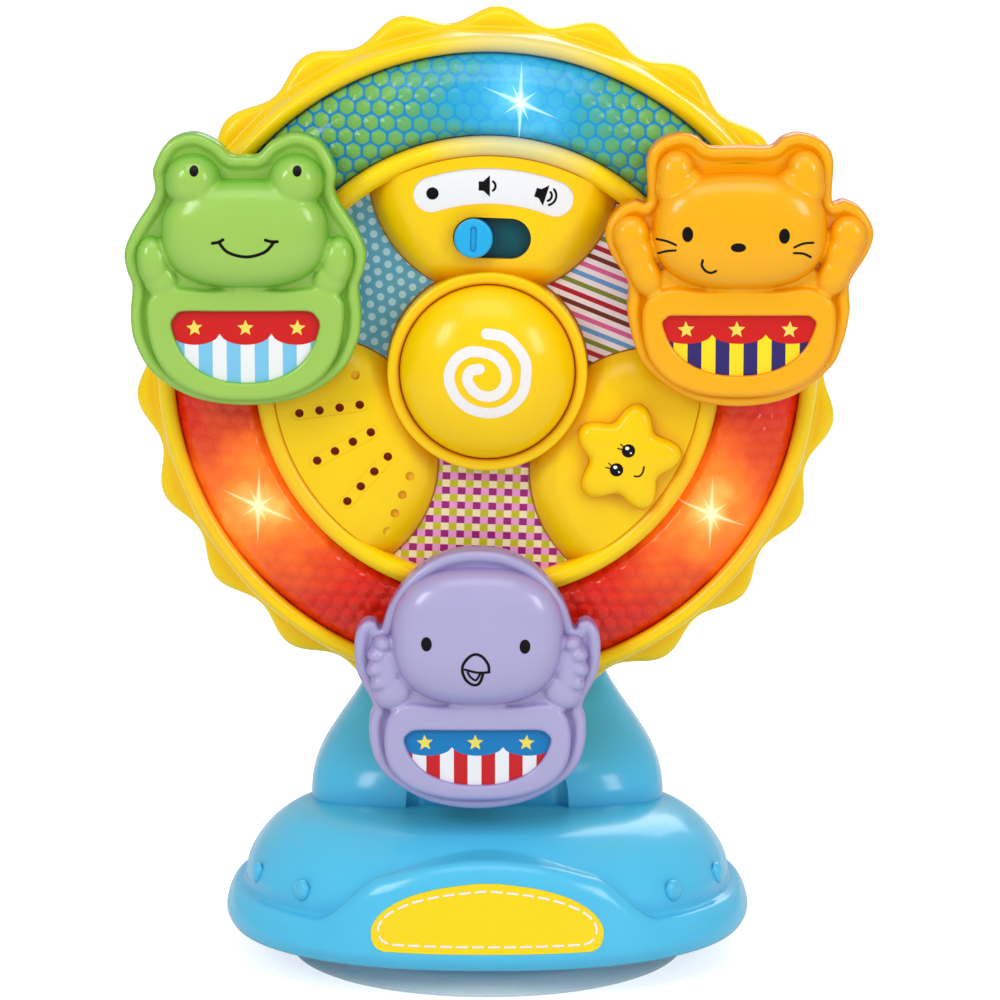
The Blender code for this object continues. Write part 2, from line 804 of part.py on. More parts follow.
def centre_panel(wheel):
    """The petal panel: a thin web, three petals and the hub ring, hollow behind the petals."""
    panel = cylinder("centre_panel", panel_radius, panel_level - panel_web, panel_level, fine_steps)
    clip = cylinder("clip", panel_radius - gap / 2, 0, hub_ring_level + overrun, fine_steps)
    low = panel_level - panel_web
    petals = []
    cavities = []
    slope = petal_radius - petal_flat_radius
    for bearing in petal_angles:
        edge = [(petal_flat_radius + slope * r, petal_level - petal_drop * d) for r, d in petal_edge_shares]
        profile = [(0, petal_level), *edge, (petal_radius, low + gap), (0, low + gap)]
        petal = turned("petal", profile, petal_steps)
        hollow = cylinder("hollow", petal_cavity_radius, 0, petal_cavity_level, petal_steps)
        spot = (*polar(petal_centre_radius, bearing), 0)
        petals.append(place(petal, spot))
        cavities.append(place(hollow, spot))
    travel = 2 * (slide_plate_half_length + knob_travel / 2 + gap)
    slide_space = prism(
        "slide_space", stadium(travel, 2 * (slide_plate_half_height + gap), screw_steps),
        0, petal_cavity_level - gap / 2,
    )
    cavities.append(place(slide_space, (0, slot_place_radius, 0)))
    petals = overlap(join(*petals), clip)
    keep = turned("keep", [
        (cavity_inner_radius, -overrun), (panel_radius - petal_rim_wall, -overrun),
        (panel_radius - petal_rim_wall, hub_ring_level), (cavity_inner_radius, hub_ring_level),
    ], fine_steps)
    cavity = overlap(join(*cavities), keep)
    width = hub_ring_outer_radius - hub_ring_inner_radius
    crown = [
        (hub_ring_inner_radius + width * r, hub_ring_level - (hub_ring_level - petal_level) * d)
        for r, d in hub_ring_shares
    ]
    ring = turned("hub_ring", [
        (hub_ring_inner_radius, low + gap / 2), *crown, (hub_ring_outer_radius, low + gap / 2),
    ], fine_steps)
    middle = (hub_ring_inner_radius + hub_ring_outer_radius) / 2
    bore = cylinder("bore", middle, panel_level, hub_ring_level + overrun, fine_steps)
    stem_hole = cylinder("stem_hole", dome_stem_radius + gap, 0, panel_level + overrun, medium_steps)
    body = join(cut(join(panel, petals), bore), ring)
    openings = [cavity, stem_hole, star_opening(), slot_opening(), label_recess(), *grille_holes()]
    show(cut(body, *openings), "panel_yellow", wheel)


def star_outline(extra):
    """The star button's rounded outline, one tip towards the hub."""
    tip = petal_angles[2] + pi
    points = []
    for i in range(star_steps):
        angle = tau * i / star_steps
        radius = star_mean_radius + star_wave * cos(star_points * (angle - tip)) + extra
        points.append(polar(radius, angle))
    return points


def star_opening():
    low = star_base_level - overrun
    opening = prism("star_opening", star_outline(star_clearance), low, petal_level + overrun)
    return place(opening, (*polar(star_place_radius, petal_angles[2]), 0))


def slot_opening():
    low = petal_cavity_level - overrun
    opening = prism("slot_opening", stadium(slot_length, slot_height, screw_steps), low, petal_level + overrun)
    return place(opening, (0, slot_place_radius, 0))


def label_outline(extra):
    """The curved label above the volume switch: an arc band with half-round ends."""
    half = switch_label_width / 2 + extra
    low, high = pi / 2 - switch_label_half_angle, pi / 2 + switch_label_half_angle
    outer = [polar(switch_label_radius + half, a) for a in arc(low, high, screw_steps)]
    inner = [polar(switch_label_radius - half, a) for a in arc(high, low, screw_steps)]
    ends = []
    for middle, side in ((high, 1), (low, -1)):
        centre = polar(switch_label_radius, middle)
        turn = middle if side > 0 else middle + pi
        ends.append([
            (centre[0] + half * cos(turn + a), centre[1] + half * sin(turn + a))
            for a in arc(0, pi, screw_steps)[1:-1]
        ])
    return outer + ends[0] + inner + ends[1]


def label_recess():
    low = petal_level - label_thickness - 2 * gap
    return prism("label_recess", label_outline(gap), low, petal_level + overrun)


def grille_holes():
    """Five rows of holes fanning out from the hub. The outer rows are only dimples."""
    holes = []
    middle = (grille_rows - 1) / 2
    for row in range(grille_rows):
        side = row - middle
        bearing = petal_angles[1] + side * grille_row_spread
        heading = petal_angles[1] + side * grille_heading_spread
        start = polar(grille_start_radius, bearing)
        blind = abs(side) > grille_through_rows
        low = petal_cavity_level + grille_dimple_depth if blind else petal_cavity_level - overrun
        for i in range(grille_holes_per_row):
            step = polar(grille_pitch * i, heading)
            hole = cylinder("grille", grille_hole_radius, low, petal_level + overrun, screw_steps)
            holes.append(place(hole, (start[0] + step[0], start[1] + step[1], 0)))
    return holes


def petal_half_angle(radius):
    """Half the angle that a petal, with its clearance, takes up at a distance from the hub."""
    reach = petal_radius + 2 * gap
    share = (radius ** 2 + petal_centre_radius ** 2 - reach ** 2) / (2 * radius * petal_centre_radius)
    return acos(share)


def print_sheet(name, bearing, wheel):
    """A printed sheet in the wedge between two petals."""
    low = hub_ring_outer_radius + 2 * gap
    high = panel_radius - gap
    radii = arc(low, high, print_steps)
    spread = [pi / petal_count - petal_half_angle(r) for r in radii]
    right = [polar(r, bearing - s) for r, s in zip(radii, spread)]
    left = [polar(r, bearing + s) for r, s in zip(reversed(radii), reversed(spread))]
    top = [polar(high, a) for a in arc(bearing - spread[-1], bearing + spread[-1], print_steps)[1:-1]]
    foot = [polar(low, a) for a in arc(bearing + spread[0], bearing - spread[0], print_steps)[1:-1]]
    sheet = prism(name, right + top + left + foot, print_level, print_level + print_thickness)
    show(sheet, "paper", wheel)


# Buttons and the volume switch

def star_button(wheel):
    flange_top = star_base_level + star_flange_thickness
    rise = petal_level + star_height - flange_top
    circle = [polar(star_flange_radius, tau * i / star_steps) for i in range(star_steps)]
    star = star_outline(0)
    rows = [(circle, 1, star_base_level), (circle, 1, flange_top), (star, 1, flange_top + gap)]
    rows += [(star, scale, flange_top + rise * up) for scale, up in star_crown_shares]
    loops = [[(x * scale, y * scale, level) for x, y in outline] for outline, scale, level in rows]
    stem = cylinder(
        "stem", star_stem_radius, star_base_level - star_stem_length, star_base_level + gap, small_steps
    )
    button = join(skin("star_button", loops), stem)
    show(button, "panel_yellow", wheel, (*polar(star_place_radius, petal_angles[2]), 0))


def dome_button(wheel):
    radius = hub_ring_inner_radius - dome_gap
    shoulder = dome_base_level + dome_skirt
    outside = [
        (radius * cos(a), shoulder + dome_crown * sin(a)) for a in arc(pi / 2, 0, dome_crown_steps)
    ]
    outside[0] = (0, shoulder + dome_crown)
    thin = radius - dome_shell
    inside = [
        (thin * cos(a), shoulder + (dome_crown - dome_shell) * sin(a)) for a in arc(0, pi / 3, 3)
    ]
    profile = [
        *outside, (radius, dome_base_level), (thin, dome_base_level), *inside,
        (dome_stem_radius, inside[-1][1]), (dome_stem_radius, dome_base_level - dome_stem_length),
        (0, dome_base_level - dome_stem_length),
    ]
    show(turned("dome_button", profile, medium_steps), "panel_yellow", wheel)


def volume_knob(wheel):
    plate_low = slide_top_level - slide_plate_thickness
    outline = stadium(2 * slide_plate_half_length, 2 * slide_plate_half_height, screw_steps)
    plate = prism("volume_knob", outline, plate_low, slide_top_level)
    top = petal_level + knob_height
    button = rounded_slab(
        "button", [polar(knob_radius, a) for a in arc(0, tau, medium_steps)[1:]],
        slide_top_level - gap, top, knob_round,
    )
    groove = box(
        "groove", (-knob_groove_width / 2, knob_groove_width / 2),
        (-knob_groove_length / 2, knob_groove_length / 2), (top - knob_groove_depth, top + overrun),
    )
    knob = cut(join(plate, button), groove)
    show(knob, "knob_blue", wheel, (-knob_travel / 2, slot_place_radius, 0))


def switch_label(wheel):
    low = petal_level - label_thickness - gap
    show(prism("switch_label", label_outline(0), low, low + label_thickness), "paper", wheel)


# Wheel back, batteries and electronics

def back_shell(wheel):
    """The wheel's rear cover: a deep dish with an axle boss, screw tubes and a battery compartment."""
    outer = ridge_inner_radius + rim_wall - gap
    inner = outer - shell_wall
    rim_level = ridge_level - ridge_lip - lens_thickness - 2 * gap
    floor = -back_depth
    inner_floor = floor + shell_wall
    edge = [(outer - back_corner * r, floor + back_corner * up) for r, up in back_edge_shares]
    inside = [(inner - back_corner * r, inner_floor + back_corner * up) for r, up in reversed(back_edge_shares)]
    dish = turned("wheel_rear_shell", [
        (0, floor), (outer - back_corner, floor), *edge, (outer, rim_level), (inner, rim_level),
        *inside, (inner - back_corner, inner_floor), (0, inner_floor),
    ], fine_steps)
    boss_top = boss_end_level + boss_length
    added = [cylinder("boss", boss_radius, boss_end_level, boss_top, medium_steps)]
    holes = [cylinder(
        "axle_hole", axle_radius + gap, boss_end_level - overrun, boss_top + overrun, medium_steps
    )]
    root = floor + shell_wall / 2
    bar_back = bridge_level - bridge_thickness
    seat = bar_back - shell_wall
    for i, bearing in enumerate(shell_pivots):
        spot = (*polar(screw_place_radius, bearing), 0)
        added.append(place(cylinder("tube", screw_boss_radius, root, bar_back - gap, small_steps), spot))
        well = cylinder("well", screw_head_radius + gap, floor - overrun, seat, screw_steps)
        bore = cylinder("bore", screw_shank_radius + gap, floor, bar_back + overrun, screw_steps)
        holes += [place(well, spot), place(bore, spot)]
        screw(f"wheel_screw_{i + 1}", wheel, (*spot[:2], seat - gap))
    for bearing in led_angles:
        post = cylinder("led_post", led_base_radius, root, led_post_level, screw_steps)
        added.append(place(post, (*polar(led_place_radius, bearing), 0)))
    for bearing in board_post_angles:
        post = cylinder("board_post", led_base_radius, root, board_level - gap, screw_steps)
        added.append(place(post, (*polar(board_post_radius, bearing), 0)))
    half_x = battery_length / 2 + battery_cap_length + battery_play
    half_y = battery_pitch * battery_count / 2 + battery_play
    wide = half_x + battery_wall
    middle = -battery_place
    screw_x = wide + screw_head_radius
    y_range = (middle - half_y, middle + half_y)
    walls = (y_range[0] - battery_wall, y_range[1] + battery_wall)
    added.append(box("housing", (-wide, wide), walls, (root, battery_top + battery_wall)))
    pad_top = battery_floor + screw_length
    added.append(cylinder("pad", screw_boss_radius, root, pad_top, small_steps, (screw_x, middle)))
    door_end = screw_x + screw_head_radius + battery_wall
    holes += [
        box("cavity", (-half_x, half_x), y_range, (floor - overrun, battery_top)),
        box("door_seat", (-wide, door_end), y_range, (floor - overrun, battery_floor)),
        cylinder(
            "door_bore", screw_shank_radius + gap, floor, pad_top + overrun, screw_steps, (screw_x, middle)
        ),
    ]
    show(cut(join(dish, *added), *holes), "rim_yellow", wheel)
    door = box(
        "battery_door", (-wide + gap, door_end - gap), (y_range[0] + gap, y_range[1] - gap),
        (floor, floor + door_thickness),
    )
    hole = cylinder("hole", screw_shank_radius + gap, floor - overrun, 0, screw_steps, (screw_x, middle))
    show(cut(door, hole), "rim_yellow", wheel)
    screw("door_screw", wheel, (screw_x, middle, floor - gap))
    batteries(wheel, middle)


def batteries(wheel, middle):
    half = battery_length / 2
    level = battery_floor + battery_radius
    for i in range(battery_count):
        can = turned(f"battery_{i + 1}", [
            (0, half + battery_cap_length), (battery_cap_radius, half + battery_cap_length),
            (battery_cap_radius, half), (battery_radius, half), (battery_radius, -half), (0, -half),
        ], battery_steps)
        y = middle + (i - (battery_count - 1) / 2) * battery_pitch
        side = 1 if i % 2 else -1
        show(can, "battery_can", wheel, (0, y, level), (0, side * pi / 2, 0))


def screw(name, parent, location, tilt=0):
    """A pan head screw with its shank towards local +Z. Its origin is under the head."""
    profile = [
        (0, screw_length), (screw_shank_radius, screw_length), (screw_shank_radius, 0),
        (screw_head_radius, 0), (screw_head_radius * screw_dome_share, -screw_head_height),
        (0, -screw_head_height),
    ]
    show(turned(name, profile, screw_steps), "steel", parent, location, (tilt, 0, 0))


def electronics(wheel):
    board = cylinder("circuit_board", board_radius, board_level, board_level + board_thickness, medium_steps)
    show(board, "board_green", wheel)
    top = petal_cavity_level - gap
    magnet_radius = speaker_radius * speaker_magnet_share
    speaker = turned("speaker", [
        (0, top - speaker_rim), (speaker_radius - speaker_rim, top - speaker_rim),
        (speaker_radius - speaker_rim, top), (speaker_radius, top), (speaker_radius, top - 2 * speaker_rim),
        (magnet_radius, top - speaker_depth / 2), (magnet_radius, top - speaker_depth),
        (0, top - speaker_depth),
    ], medium_steps)
    show(speaker, "dark_cone", wheel, (*polar(speaker_place_radius, petal_angles[1]), 0))
    foot = led_post_level + gap
    for name, bearing in zip(("led_top", "led_left", "led_right"), led_angles):
        led = turned(name, [
            (0, foot + led_height), (led_radius * led_tip_share, foot + led_height),
            (led_radius, foot + led_height - led_radius / 2), (led_radius, foot + led_base_thickness),
            (led_base_radius, foot + led_base_thickness), (led_base_radius, foot), (0, foot),
        ], screw_steps)
        show(led, "white_plastic", wheel, (*polar(led_place_radius, bearing), 0))


def axle(wheel):
    """The metal axle, held by its head inside the wheel and by a clip behind the stand's bush."""
    head = boss_end_level + boss_length + gap
    tail = -(bush_end_y + gap + clip_thickness + axle_tail)
    pin = turned("axle", [
        (0, head + axle_head_thickness), (axle_head_radius, head + axle_head_thickness),
        (axle_head_radius, head), (axle_radius, head), (axle_radius, tail), (0, tail),
    ], medium_steps)
    show(pin, "steel", wheel)
    clip_top = -(bush_end_y + gap)
    clip = turned("axle_clip", [
        (axle_radius + gap, clip_top), (clip_radius, clip_top),
        (clip_radius, clip_top - clip_thickness), (axle_radius + gap, clip_top - clip_thickness),
    ], small_steps)
    show(clip, "steel", wheel)


# Stand

def plan_loop(inset, level, steps, half_x, half_y, power):
    return [(x, y, level) for x, y in superellipse(half_x - inset, half_y - inset, power, steps)]


def sign_height(x, y):
    """Top of the skirt at a point of its plan: raised into an arch behind the sign, at the front only."""
    if y > 0:
        return skirt_top_level
    arch = sign_top_level - sign_arch_drop * min(1, (x / sign_half_width) ** 2)
    blend = (abs(x) - sign_half_width) / (sign_shoulder_half_width - sign_half_width)
    blend = min(1, max(0, blend))
    smooth = blend * blend * (3 - 2 * blend)
    return arch + (skirt_top_level - arch) * smooth


def skirt_ring():
    """The base's outer wall. Its section follows the plan, and rises behind the sign."""
    plan = superellipse(base_half_width, base_half_depth, base_plan_power, base_steps)
    loops = []
    for x, y in plan:
        top = sign_height(x, y)
        lean = skirt_lean * (top - skirt_round - skirt_bulge_level)
        raised = (top - skirt_top_level) / (sign_top_level - skirt_top_level)
        ledge = skirt_ledge_low + (skirt_ledge_high - skirt_ledge_low) * raised
        corner = skirt_round * round_corner_share
        section = [
            (skirt_foot_inset, base_bottom), (0, skirt_bulge_level), (lean, top - skirt_round),
            (lean + corner, top - corner), (lean + skirt_round, top), (ledge, top),
            (ledge, top - shell_wall), (lean + skirt_round, top - shell_wall),
            (lean + shell_wall, top - skirt_round - shell_wall / 2), (shell_wall, skirt_bulge_level),
            (skirt_foot_inset + shell_wall, base_bottom),
        ]
        loops.append([
            (x * (1 - inset / base_half_width), y * (1 - inset / base_half_depth), level)
            for inset, level in section
        ])
    return skin("base_shell", loops, ring=True)


def dome_solid(name, inset, low, steps):
    """The base's dome as a solid, shrunk by an inset. A negative inset makes it larger."""
    rise = dome_top_level - dome_foot_level
    sections = [(dome_foot_level + rise * h - inset, w, d) for h, w, d in dome_section_shares]
    sections[0] = (low, *sections[0][1:])
    loops = []
    for level, wide, deep in sections:
        loops.append(plan_loop(
            inset, level, steps, dome_half_width * wide, dome_half_depth * deep, base_plan_power
        ))
    return skin(name, loops)


def dome_point(level, angle):
    """A point of the dome's surface in plan, at a bearing clockwise from the front seen from above."""
    share = (level - dome_foot_level) / (dome_top_level - dome_foot_level)
    for (h0, w0, d0), (h1, w1, d1) in zip(dome_section_shares, dome_section_shares[1:]):
        if h0 <= share <= h1:
            t = (share - h0) / (h1 - h0)
            half_x = dome_half_width * (w0 + (w1 - w0) * t)
            half_y = dome_half_depth * (d0 + (d1 - d0) * t)
    c, s = sin(angle), -cos(angle)
    span = (abs(c) / half_x) ** base_plan_power + (abs(s) / half_y) ** base_plan_power
    reach = span ** (-1 / base_plan_power)
    return reach * c, reach * s


def rivets():
    bumps = []
    for i in range(rivet_count):
        x, y = dome_point(rivet_level, rivet_start_angle + i * rivet_spacing)
        bm = bmesh.new()
        bmesh.ops.create_uvsphere(bm, u_segments=screw_steps, v_segments=rivet_rings, radius=rivet_radius)
        bmesh.ops.scale(bm, verts=bm.verts, vec=(rivet_flat_share, 1, 1))
        turn = rivet_start_angle + i * rivet_spacing - pi / 2
        bumps.append(place(solid("rivet", bm), (x, y, rivet_level), turn))
    return bumps


def sign_surface(x, level, inset):
    """The skirt's leaning front face, set in by an inset."""
    depth = base_half_depth - skirt_lean * (level - skirt_bulge_level) - inset
    width = base_half_width - skirt_lean * (level - skirt_bulge_level) - inset
    return -depth * (1 - (abs(x) / width) ** base_plan_power) ** (1 / base_plan_power)


def sign_sheet(name, grow, near, far):
    """A curved sheet that follows the sign face between two insets, its outline grown by an amount."""
    rise = sign_label_top - sign_label_bottom
    loops = []
    for up, wide in sign_label_shares:
        level = sign_label_bottom - grow + (rise + 2 * grow) * up
        half = sign_label_half_width * wide + grow
        columns = arc(-half, half, sign_label_columns)
        front = [(x, sign_surface(x, level, near), level) for x in columns]
        back = [(x, sign_surface(x, level, far), level) for x in reversed(columns)]
        loops.append(front + back)
    return skin(name, loops)


def base(stand):
    hollow = dome_solid("hollow", shell_wall, dome_foot_level - overrun, dome_hollow_steps)
    dome = cut(dome_solid("dome", 0, dome_foot_level, dome_steps), hollow)
    added = [dome]
    holes = []
    for i, (side_x, side_y) in enumerate(((1, 1), (1, -1), (-1, 1), (-1, -1))):
        x, y = side_x * base_screw_x, side_y * base_screw_y
        boss = cylinder(
            "boss", screw_boss_radius, base_plate_top + gap, base_boss_top, small_steps, (x, y)
        )
        added.append(boss)
        holes.append(cylinder(
            "bore", screw_shank_radius + gap, base_bottom, base_plate_top + screw_length + overrun,
            screw_steps, (x, y),
        ))
        screw(f"base_screw_{i + 1}", stand, (x, y, base_bottom + screw_head_height))
    opening = box(
        "opening", (-tenon_half_width - gap, tenon_half_width + gap),
        (tenon_front - gap, tenon_back + gap), (dome_foot_level, dome_top_level + overrun),
    )
    pocket = sign_sheet("pocket", gap, -overrun, label_thickness + gap)
    body = join(skirt_ring(), *added, *rivets())
    show(cut(body, opening, pocket, *holes), "base_blue", stand)
    show(sign_sheet("sign_label", 0, 0, label_thickness), "paper", stand)


def base_plate(stand):
    inset = skirt_foot_inset + shell_wall + 2 * gap
    loops = [
        plan_loop(inset, level, dome_steps, base_half_width, base_half_depth, base_plan_power)
        for level in (base_bottom, base_plate_top)
    ]
    plate = skin("base_plate", loops)
    holes = [cylinder(
        "stem_hole", cup_stem_radius + gap, base_bottom - overrun, base_plate_top + overrun, medium_steps
    )]
    for side_x in (-1, 1):
        for side_y in (-1, 1):
            spot = (side_x * base_screw_x, side_y * base_screw_y)
            holes.append(cylinder(
                "well", screw_head_radius + gap, base_bottom - overrun,
                base_bottom + screw_head_height + gap, screw_steps, spot,
            ))
            holes.append(cylinder(
                "bore", screw_shank_radius + gap, base_bottom, base_plate_top + overrun, screw_steps, spot
            ))
    show(cut(plate, *holes), "base_blue", stand)


def suction_cup(stand):
    rise = cup_height - cup_lip_height
    wide = cup_radius - cup_stem_radius
    top = [(cup_stem_radius + wide * r, cup_lip_height + rise * up) for r, up in cup_top_shares]
    hollow = [((cup_radius - cup_lip_width) * r, cup_hollow * up) for r, up in cup_hollow_shares]
    cup = turned("suction_cup", [
        (0, cup_hollow), *hollow, (cup_radius, 0), (cup_radius, cup_lip_height), *top,
        (cup_stem_radius, cup_height), (cup_stem_radius, cup_button_level),
        (cup_button_radius, cup_button_level), (cup_button_radius, cup_button_level + cup_button_thickness),
        (0, cup_button_level + cup_button_thickness),
    ], cup_steps)
    show(cup, "clear_rubber", stand)
    retainer = turned("cup_retainer", [
        (cup_stem_radius + gap, retainer_level), (retainer_radius, retainer_level),
        (retainer_radius, retainer_level + retainer_thickness),
        (cup_stem_radius + gap, retainer_level + retainer_thickness),
    ], small_steps)
    show(retainer, "white_plastic", stand)


def neck_sections(inset, steps):
    """Loops up the neck, shrunk by an inset. The inner ones stay behind the front recess."""
    rows = []
    for h, wide, front, back in neck_section_shares:
        level = dome_top_level + (axle_height - dome_top_level) * h
        rows.append((
            level, neck_top_half_width + (neck_foot_half_width - neck_top_half_width) * wide,
            neck_top_front + (neck_foot_front - neck_top_front) * front,
            neck_top_back + (neck_foot_back - neck_top_back) * back,
        ))
    rows.insert(0, (rows[0][0] - neck_sunk, *rows[0][1:]))
    radius = neck_top_half_width
    for angle in neck_crown_angles:
        drop = inset * sin(angle)
        rows.append((axle_height + radius * sin(angle) - drop, radius * cos(angle) + inset * (1 - cos(angle)),
                     neck_top_front, neck_top_back))
    loops = []
    for level, half, front, back in rows:
        front = front + inset
        if inset:
            front = max(front, recess_inner)
        back = back - inset
        power = neck_hollow_power if inset else neck_plan_power
        outline = superellipse(half - inset, (back - front) / 2, power, steps)
        loops.append([(x, y + (front + back) / 2, level) for x, y in outline])
    return loops


def neck_back(level):
    """How far back the neck's rear face is at a height."""
    share = (level - dome_top_level) / (axle_height - dome_top_level)
    for (h0, *_, b0), (h1, *_, b1) in zip(neck_section_shares, neck_section_shares[1:]):
        if h0 <= share <= h1:
            lean = b0 + (b1 - b0) * (share - h0) / (h1 - h0)
    return neck_top_back + (neck_foot_back - neck_top_back) * lean


def neck(stand):
    """The hollow neck in two halves, joined by two screws, with a tenon that drops into the dome."""
    body = skin("neck", neck_sections(0, neck_steps))
    body = cut(body, dome_solid("under", -gap, 0, dome_steps))
    top = dome_top_level + tenon_rise
    tenon = box(
        "tenon", (-tenon_half_width, tenon_half_width), (tenon_front, tenon_back), (tenon_bottom, top)
    )
    wall = neck_wall
    tenon_hollow = box(
        "tenon_hollow", (-tenon_half_width + wall, tenon_half_width - wall),
        (tenon_front + wall, tenon_back - wall), (tenon_bottom - overrun, top - gap),
    )
    hollow = skin("hollow", neck_sections(wall, neck_inner_steps)[neck_solid_row_count:])
    recess = round_box(
        "recess", recess_half_width, (neck_foot_front - 2 * recess_corner, recess_back),
        recess_corner, (dome_foot_level, axle_height),
    )
    bush_hole = cylinder(
        "bush_hole", bush_radius + gap, -overrun, neck_top_front + neck_wall + overrun, medium_steps
    )
    bush_hole.location = (0, 0, axle_height)
    bush_hole.rotation_euler = (-pi / 2, 0, 0)
    body = cut(join(cut(body, recess), tenon), hollow, tenon_hollow, bush_hole)
    front_slab, back_slab = (
        box(name, (-cup_radius, cup_radius), y_range, (0, axle_height + 2 * neck_top_half_width))
        for name, y_range in (
            ("front_slab", (neck_split_y - gap / 2, cup_radius)),
            ("back_slab", (-cup_radius, neck_split_y + gap / 2)),
        )
    )
    front = copy_solid(body, "neck_front")
    back = copy_solid(body, "neck_rear")
    bpy.data.objects.remove(body, do_unlink=True)
    neck_halves(stand, cut(front, front_slab), cut(back, back_slab))


def copy_solid(obj, name):
    bm = bmesh.new()
    bm.from_mesh(obj.data)
    return solid(name, bm)


def round_box(name, half_width, y_range, corner, levels):
    """An upright channel with rounded back corners."""
    low, high = y_range
    corners = [(half_width - corner * (1 - cos(a)), high - corner * (1 - sin(a))) for a in arc(0, pi / 2, 3)]
    right = [(half_width, low), *corners]
    outline = right + [(-x, y) for x, y in reversed(right)]
    return prism(name, outline, *levels)


def neck_halves(stand, front, back):
    seat = neck_split_y + gap / 2 + shell_wall
    wall_y = neck_top_front + neck_wall / 2
    back_wall_y = neck_back(neck_screw_height) - neck_wall / 2
    front_end = neck_split_y - gap / 2
    front_bosses, front_bores, back_bosses, back_bores = [], [], [], []
    for i, side in enumerate((-1, 1)):
        x = side * neck_screw_half_pitch
        front_bosses.append(along_y("boss", screw_boss_radius, wall_y, front_end, x, small_steps))
        front_bores.append(along_y(
            "bore", screw_shank_radius + gap, front_end - screw_length, front_end + overrun, x, screw_steps
        ))
        back_bosses.append(along_y(
            "boss", screw_boss_radius, neck_split_y + gap / 2, back_wall_y, x, small_steps
        ))
        back_bores.append(along_y(
            "bore", screw_shank_radius + gap, neck_split_y - overrun, seat + overrun, x, screw_steps
        ))
        back_bores.append(along_y(
            "well", screw_head_radius + gap, seat, neck_foot_back + overrun, x, screw_steps
        ))
        screw(f"neck_screw_{i + 1}", stand, (x, seat + gap, neck_screw_height), pi / 2)
    show(cut(join(front, *front_bosses), *front_bores), "base_blue", stand)
    show(cut(join(back, *back_bosses), *back_bores), "base_blue", stand)


def along_y(name, radius, low, high, x, steps):
    """A cylinder lying front to back at the neck screws' height."""
    rod = cylinder(name, radius, low, high, steps)
    rod.location = (x, 0, neck_screw_height)
    rod.rotation_euler = (-pi / 2, 0, 0)
    return rod


def axle_bush(stand):
    flange = neck_top_front + neck_wall + bush_flange_seat
    bore = axle_radius + gap
    bush = turned("axle_bush", [
        (bore, bush_front_y), (bush_radius, bush_front_y), (bush_radius, flange),
        (bush_flange_radius, flange), (bush_flange_radius, flange + bush_flange_thickness),
        (bush_radius, flange + bush_flange_thickness), (bush_radius, bush_end_y), (bore, bush_end_y),
    ], medium_steps)
    show(bush, "white_plastic", stand, (0, 0, axle_height), (-pi / 2, 0, 0))


# Gondolas

def belly_outline(shares, reach, ripple, curve, shrink=0):
    """A top that may ripple, a shoulder and a rounded bottom."""
    half, widest, top, corner, bottom = shares
    right = [
        (0, top), (corner / 2, top - ripple), (corner, top),
        (half * belly_shoulder_share, (top + widest) / 2), (half, widest),
    ]
    right += [(half * wide, widest + (bottom - widest) * down) for wide, down in curve]
    right.append((0, bottom))
    loop = mirrored_loop(right, reach, belly_steps)
    return inset_loop(loop, shrink) if shrink else loop


def gondola(name, material, reach, shapes):
    """An animal gondola: flat back cover, hollow front with head, limbs and belly, and a label."""
    outline, head, lobes, belly, window = shapes
    spot = polar(pivot_radius, gondola_bearings[name] - wheel_turn)
    pivot = empty(f"{name}_pivot", (stand_x + spot[0], 0, axle_height + spot[1]), (pi / 2, 0, 0))
    loop = mirrored_loop(outline, reach, outline_steps)
    hole = cylinder("hole", pin_bore_radius, gondola_back_level - overrun, cover_level + overrun)
    cover = cut(prism(f"{name}_back", loop, gondola_back_level, cover_level), hole)
    show(cover, material, pivot)
    front = rounded_slab(f"{name}_front", loop, front_back_level, plate_level, plate_round)
    low = plate_level - gap
    edge = belly_outline(belly, reach, belly_ripple_share, belly_curve_shares)
    pieces = [rounded_slab("belly", edge, low, belly_level, belly_round)]
    x, y, half_w, half_h = (share * reach for share in head)
    pieces.append(place(
        cushion("head", half_w, half_h, head_level, plate_level, head_sink, head_power_share), (x, y, 0)
    ))
    for lobe in lobes:
        for side in (1, -1):
            pieces.append(lobe_solid(lobe, reach, side))
    floor = window_floor_level
    opening = belly_outline(window, reach, 0, window_curve_shares)
    pocket = prism("pocket", opening, floor, head_level + overrun)
    cavity_low = front_back_level - overrun
    inside = inset_loop(mirrored_loop(outline, reach, cavity_steps), plate_cavity_inset)
    cavity = prism("cavity", inside, cavity_low, plate_cavity_level)
    show(cut(join(front, *pieces), pocket, cavity), material, pivot)
    sheet = belly_outline(window, reach, 0, window_curve_shares, gap)
    label = prism(f"{name}_label", sheet, floor + gap, floor + gap + label_thickness)
    show(label, "paper", pivot)


def lobe_solid(lobe, reach, side):
    x, y, half_w, half_h, turn, height = lobe
    crest = plate_level + (head_level - plate_level) * height
    bump = cushion("lobe", half_w * reach, half_h * reach, crest, plate_level, lobe_sink, 1, 8, 6)
    return place(bump, (side * x * reach, y * reach, 0), side * radians(turn))


def pivot_pins(wheel):
    for name, bearing in gondola_bearings.items():
        top = front_back_level + pin_head_thickness
        pin = turned(f"{name}_pin", [
            (0, top), (pin_head_radius, top), (pin_head_radius, front_back_level),
            (pin_radius, front_back_level), (pin_radius, post_level - pin_depth), (0, post_level - pin_depth),
        ], small_steps)
        show(pin, "steel", wheel, (*polar(pivot_radius, bearing), 0))


# The object

stand = empty("stand", (stand_x, 0, 0))
wheel = empty("wheel", (stand_x, 0, axle_height), (pi / 2, wheel_turn, 0))

suction_cup(stand)
base_plate(stand)
base(stand)
neck(stand)
axle_bush(stand)

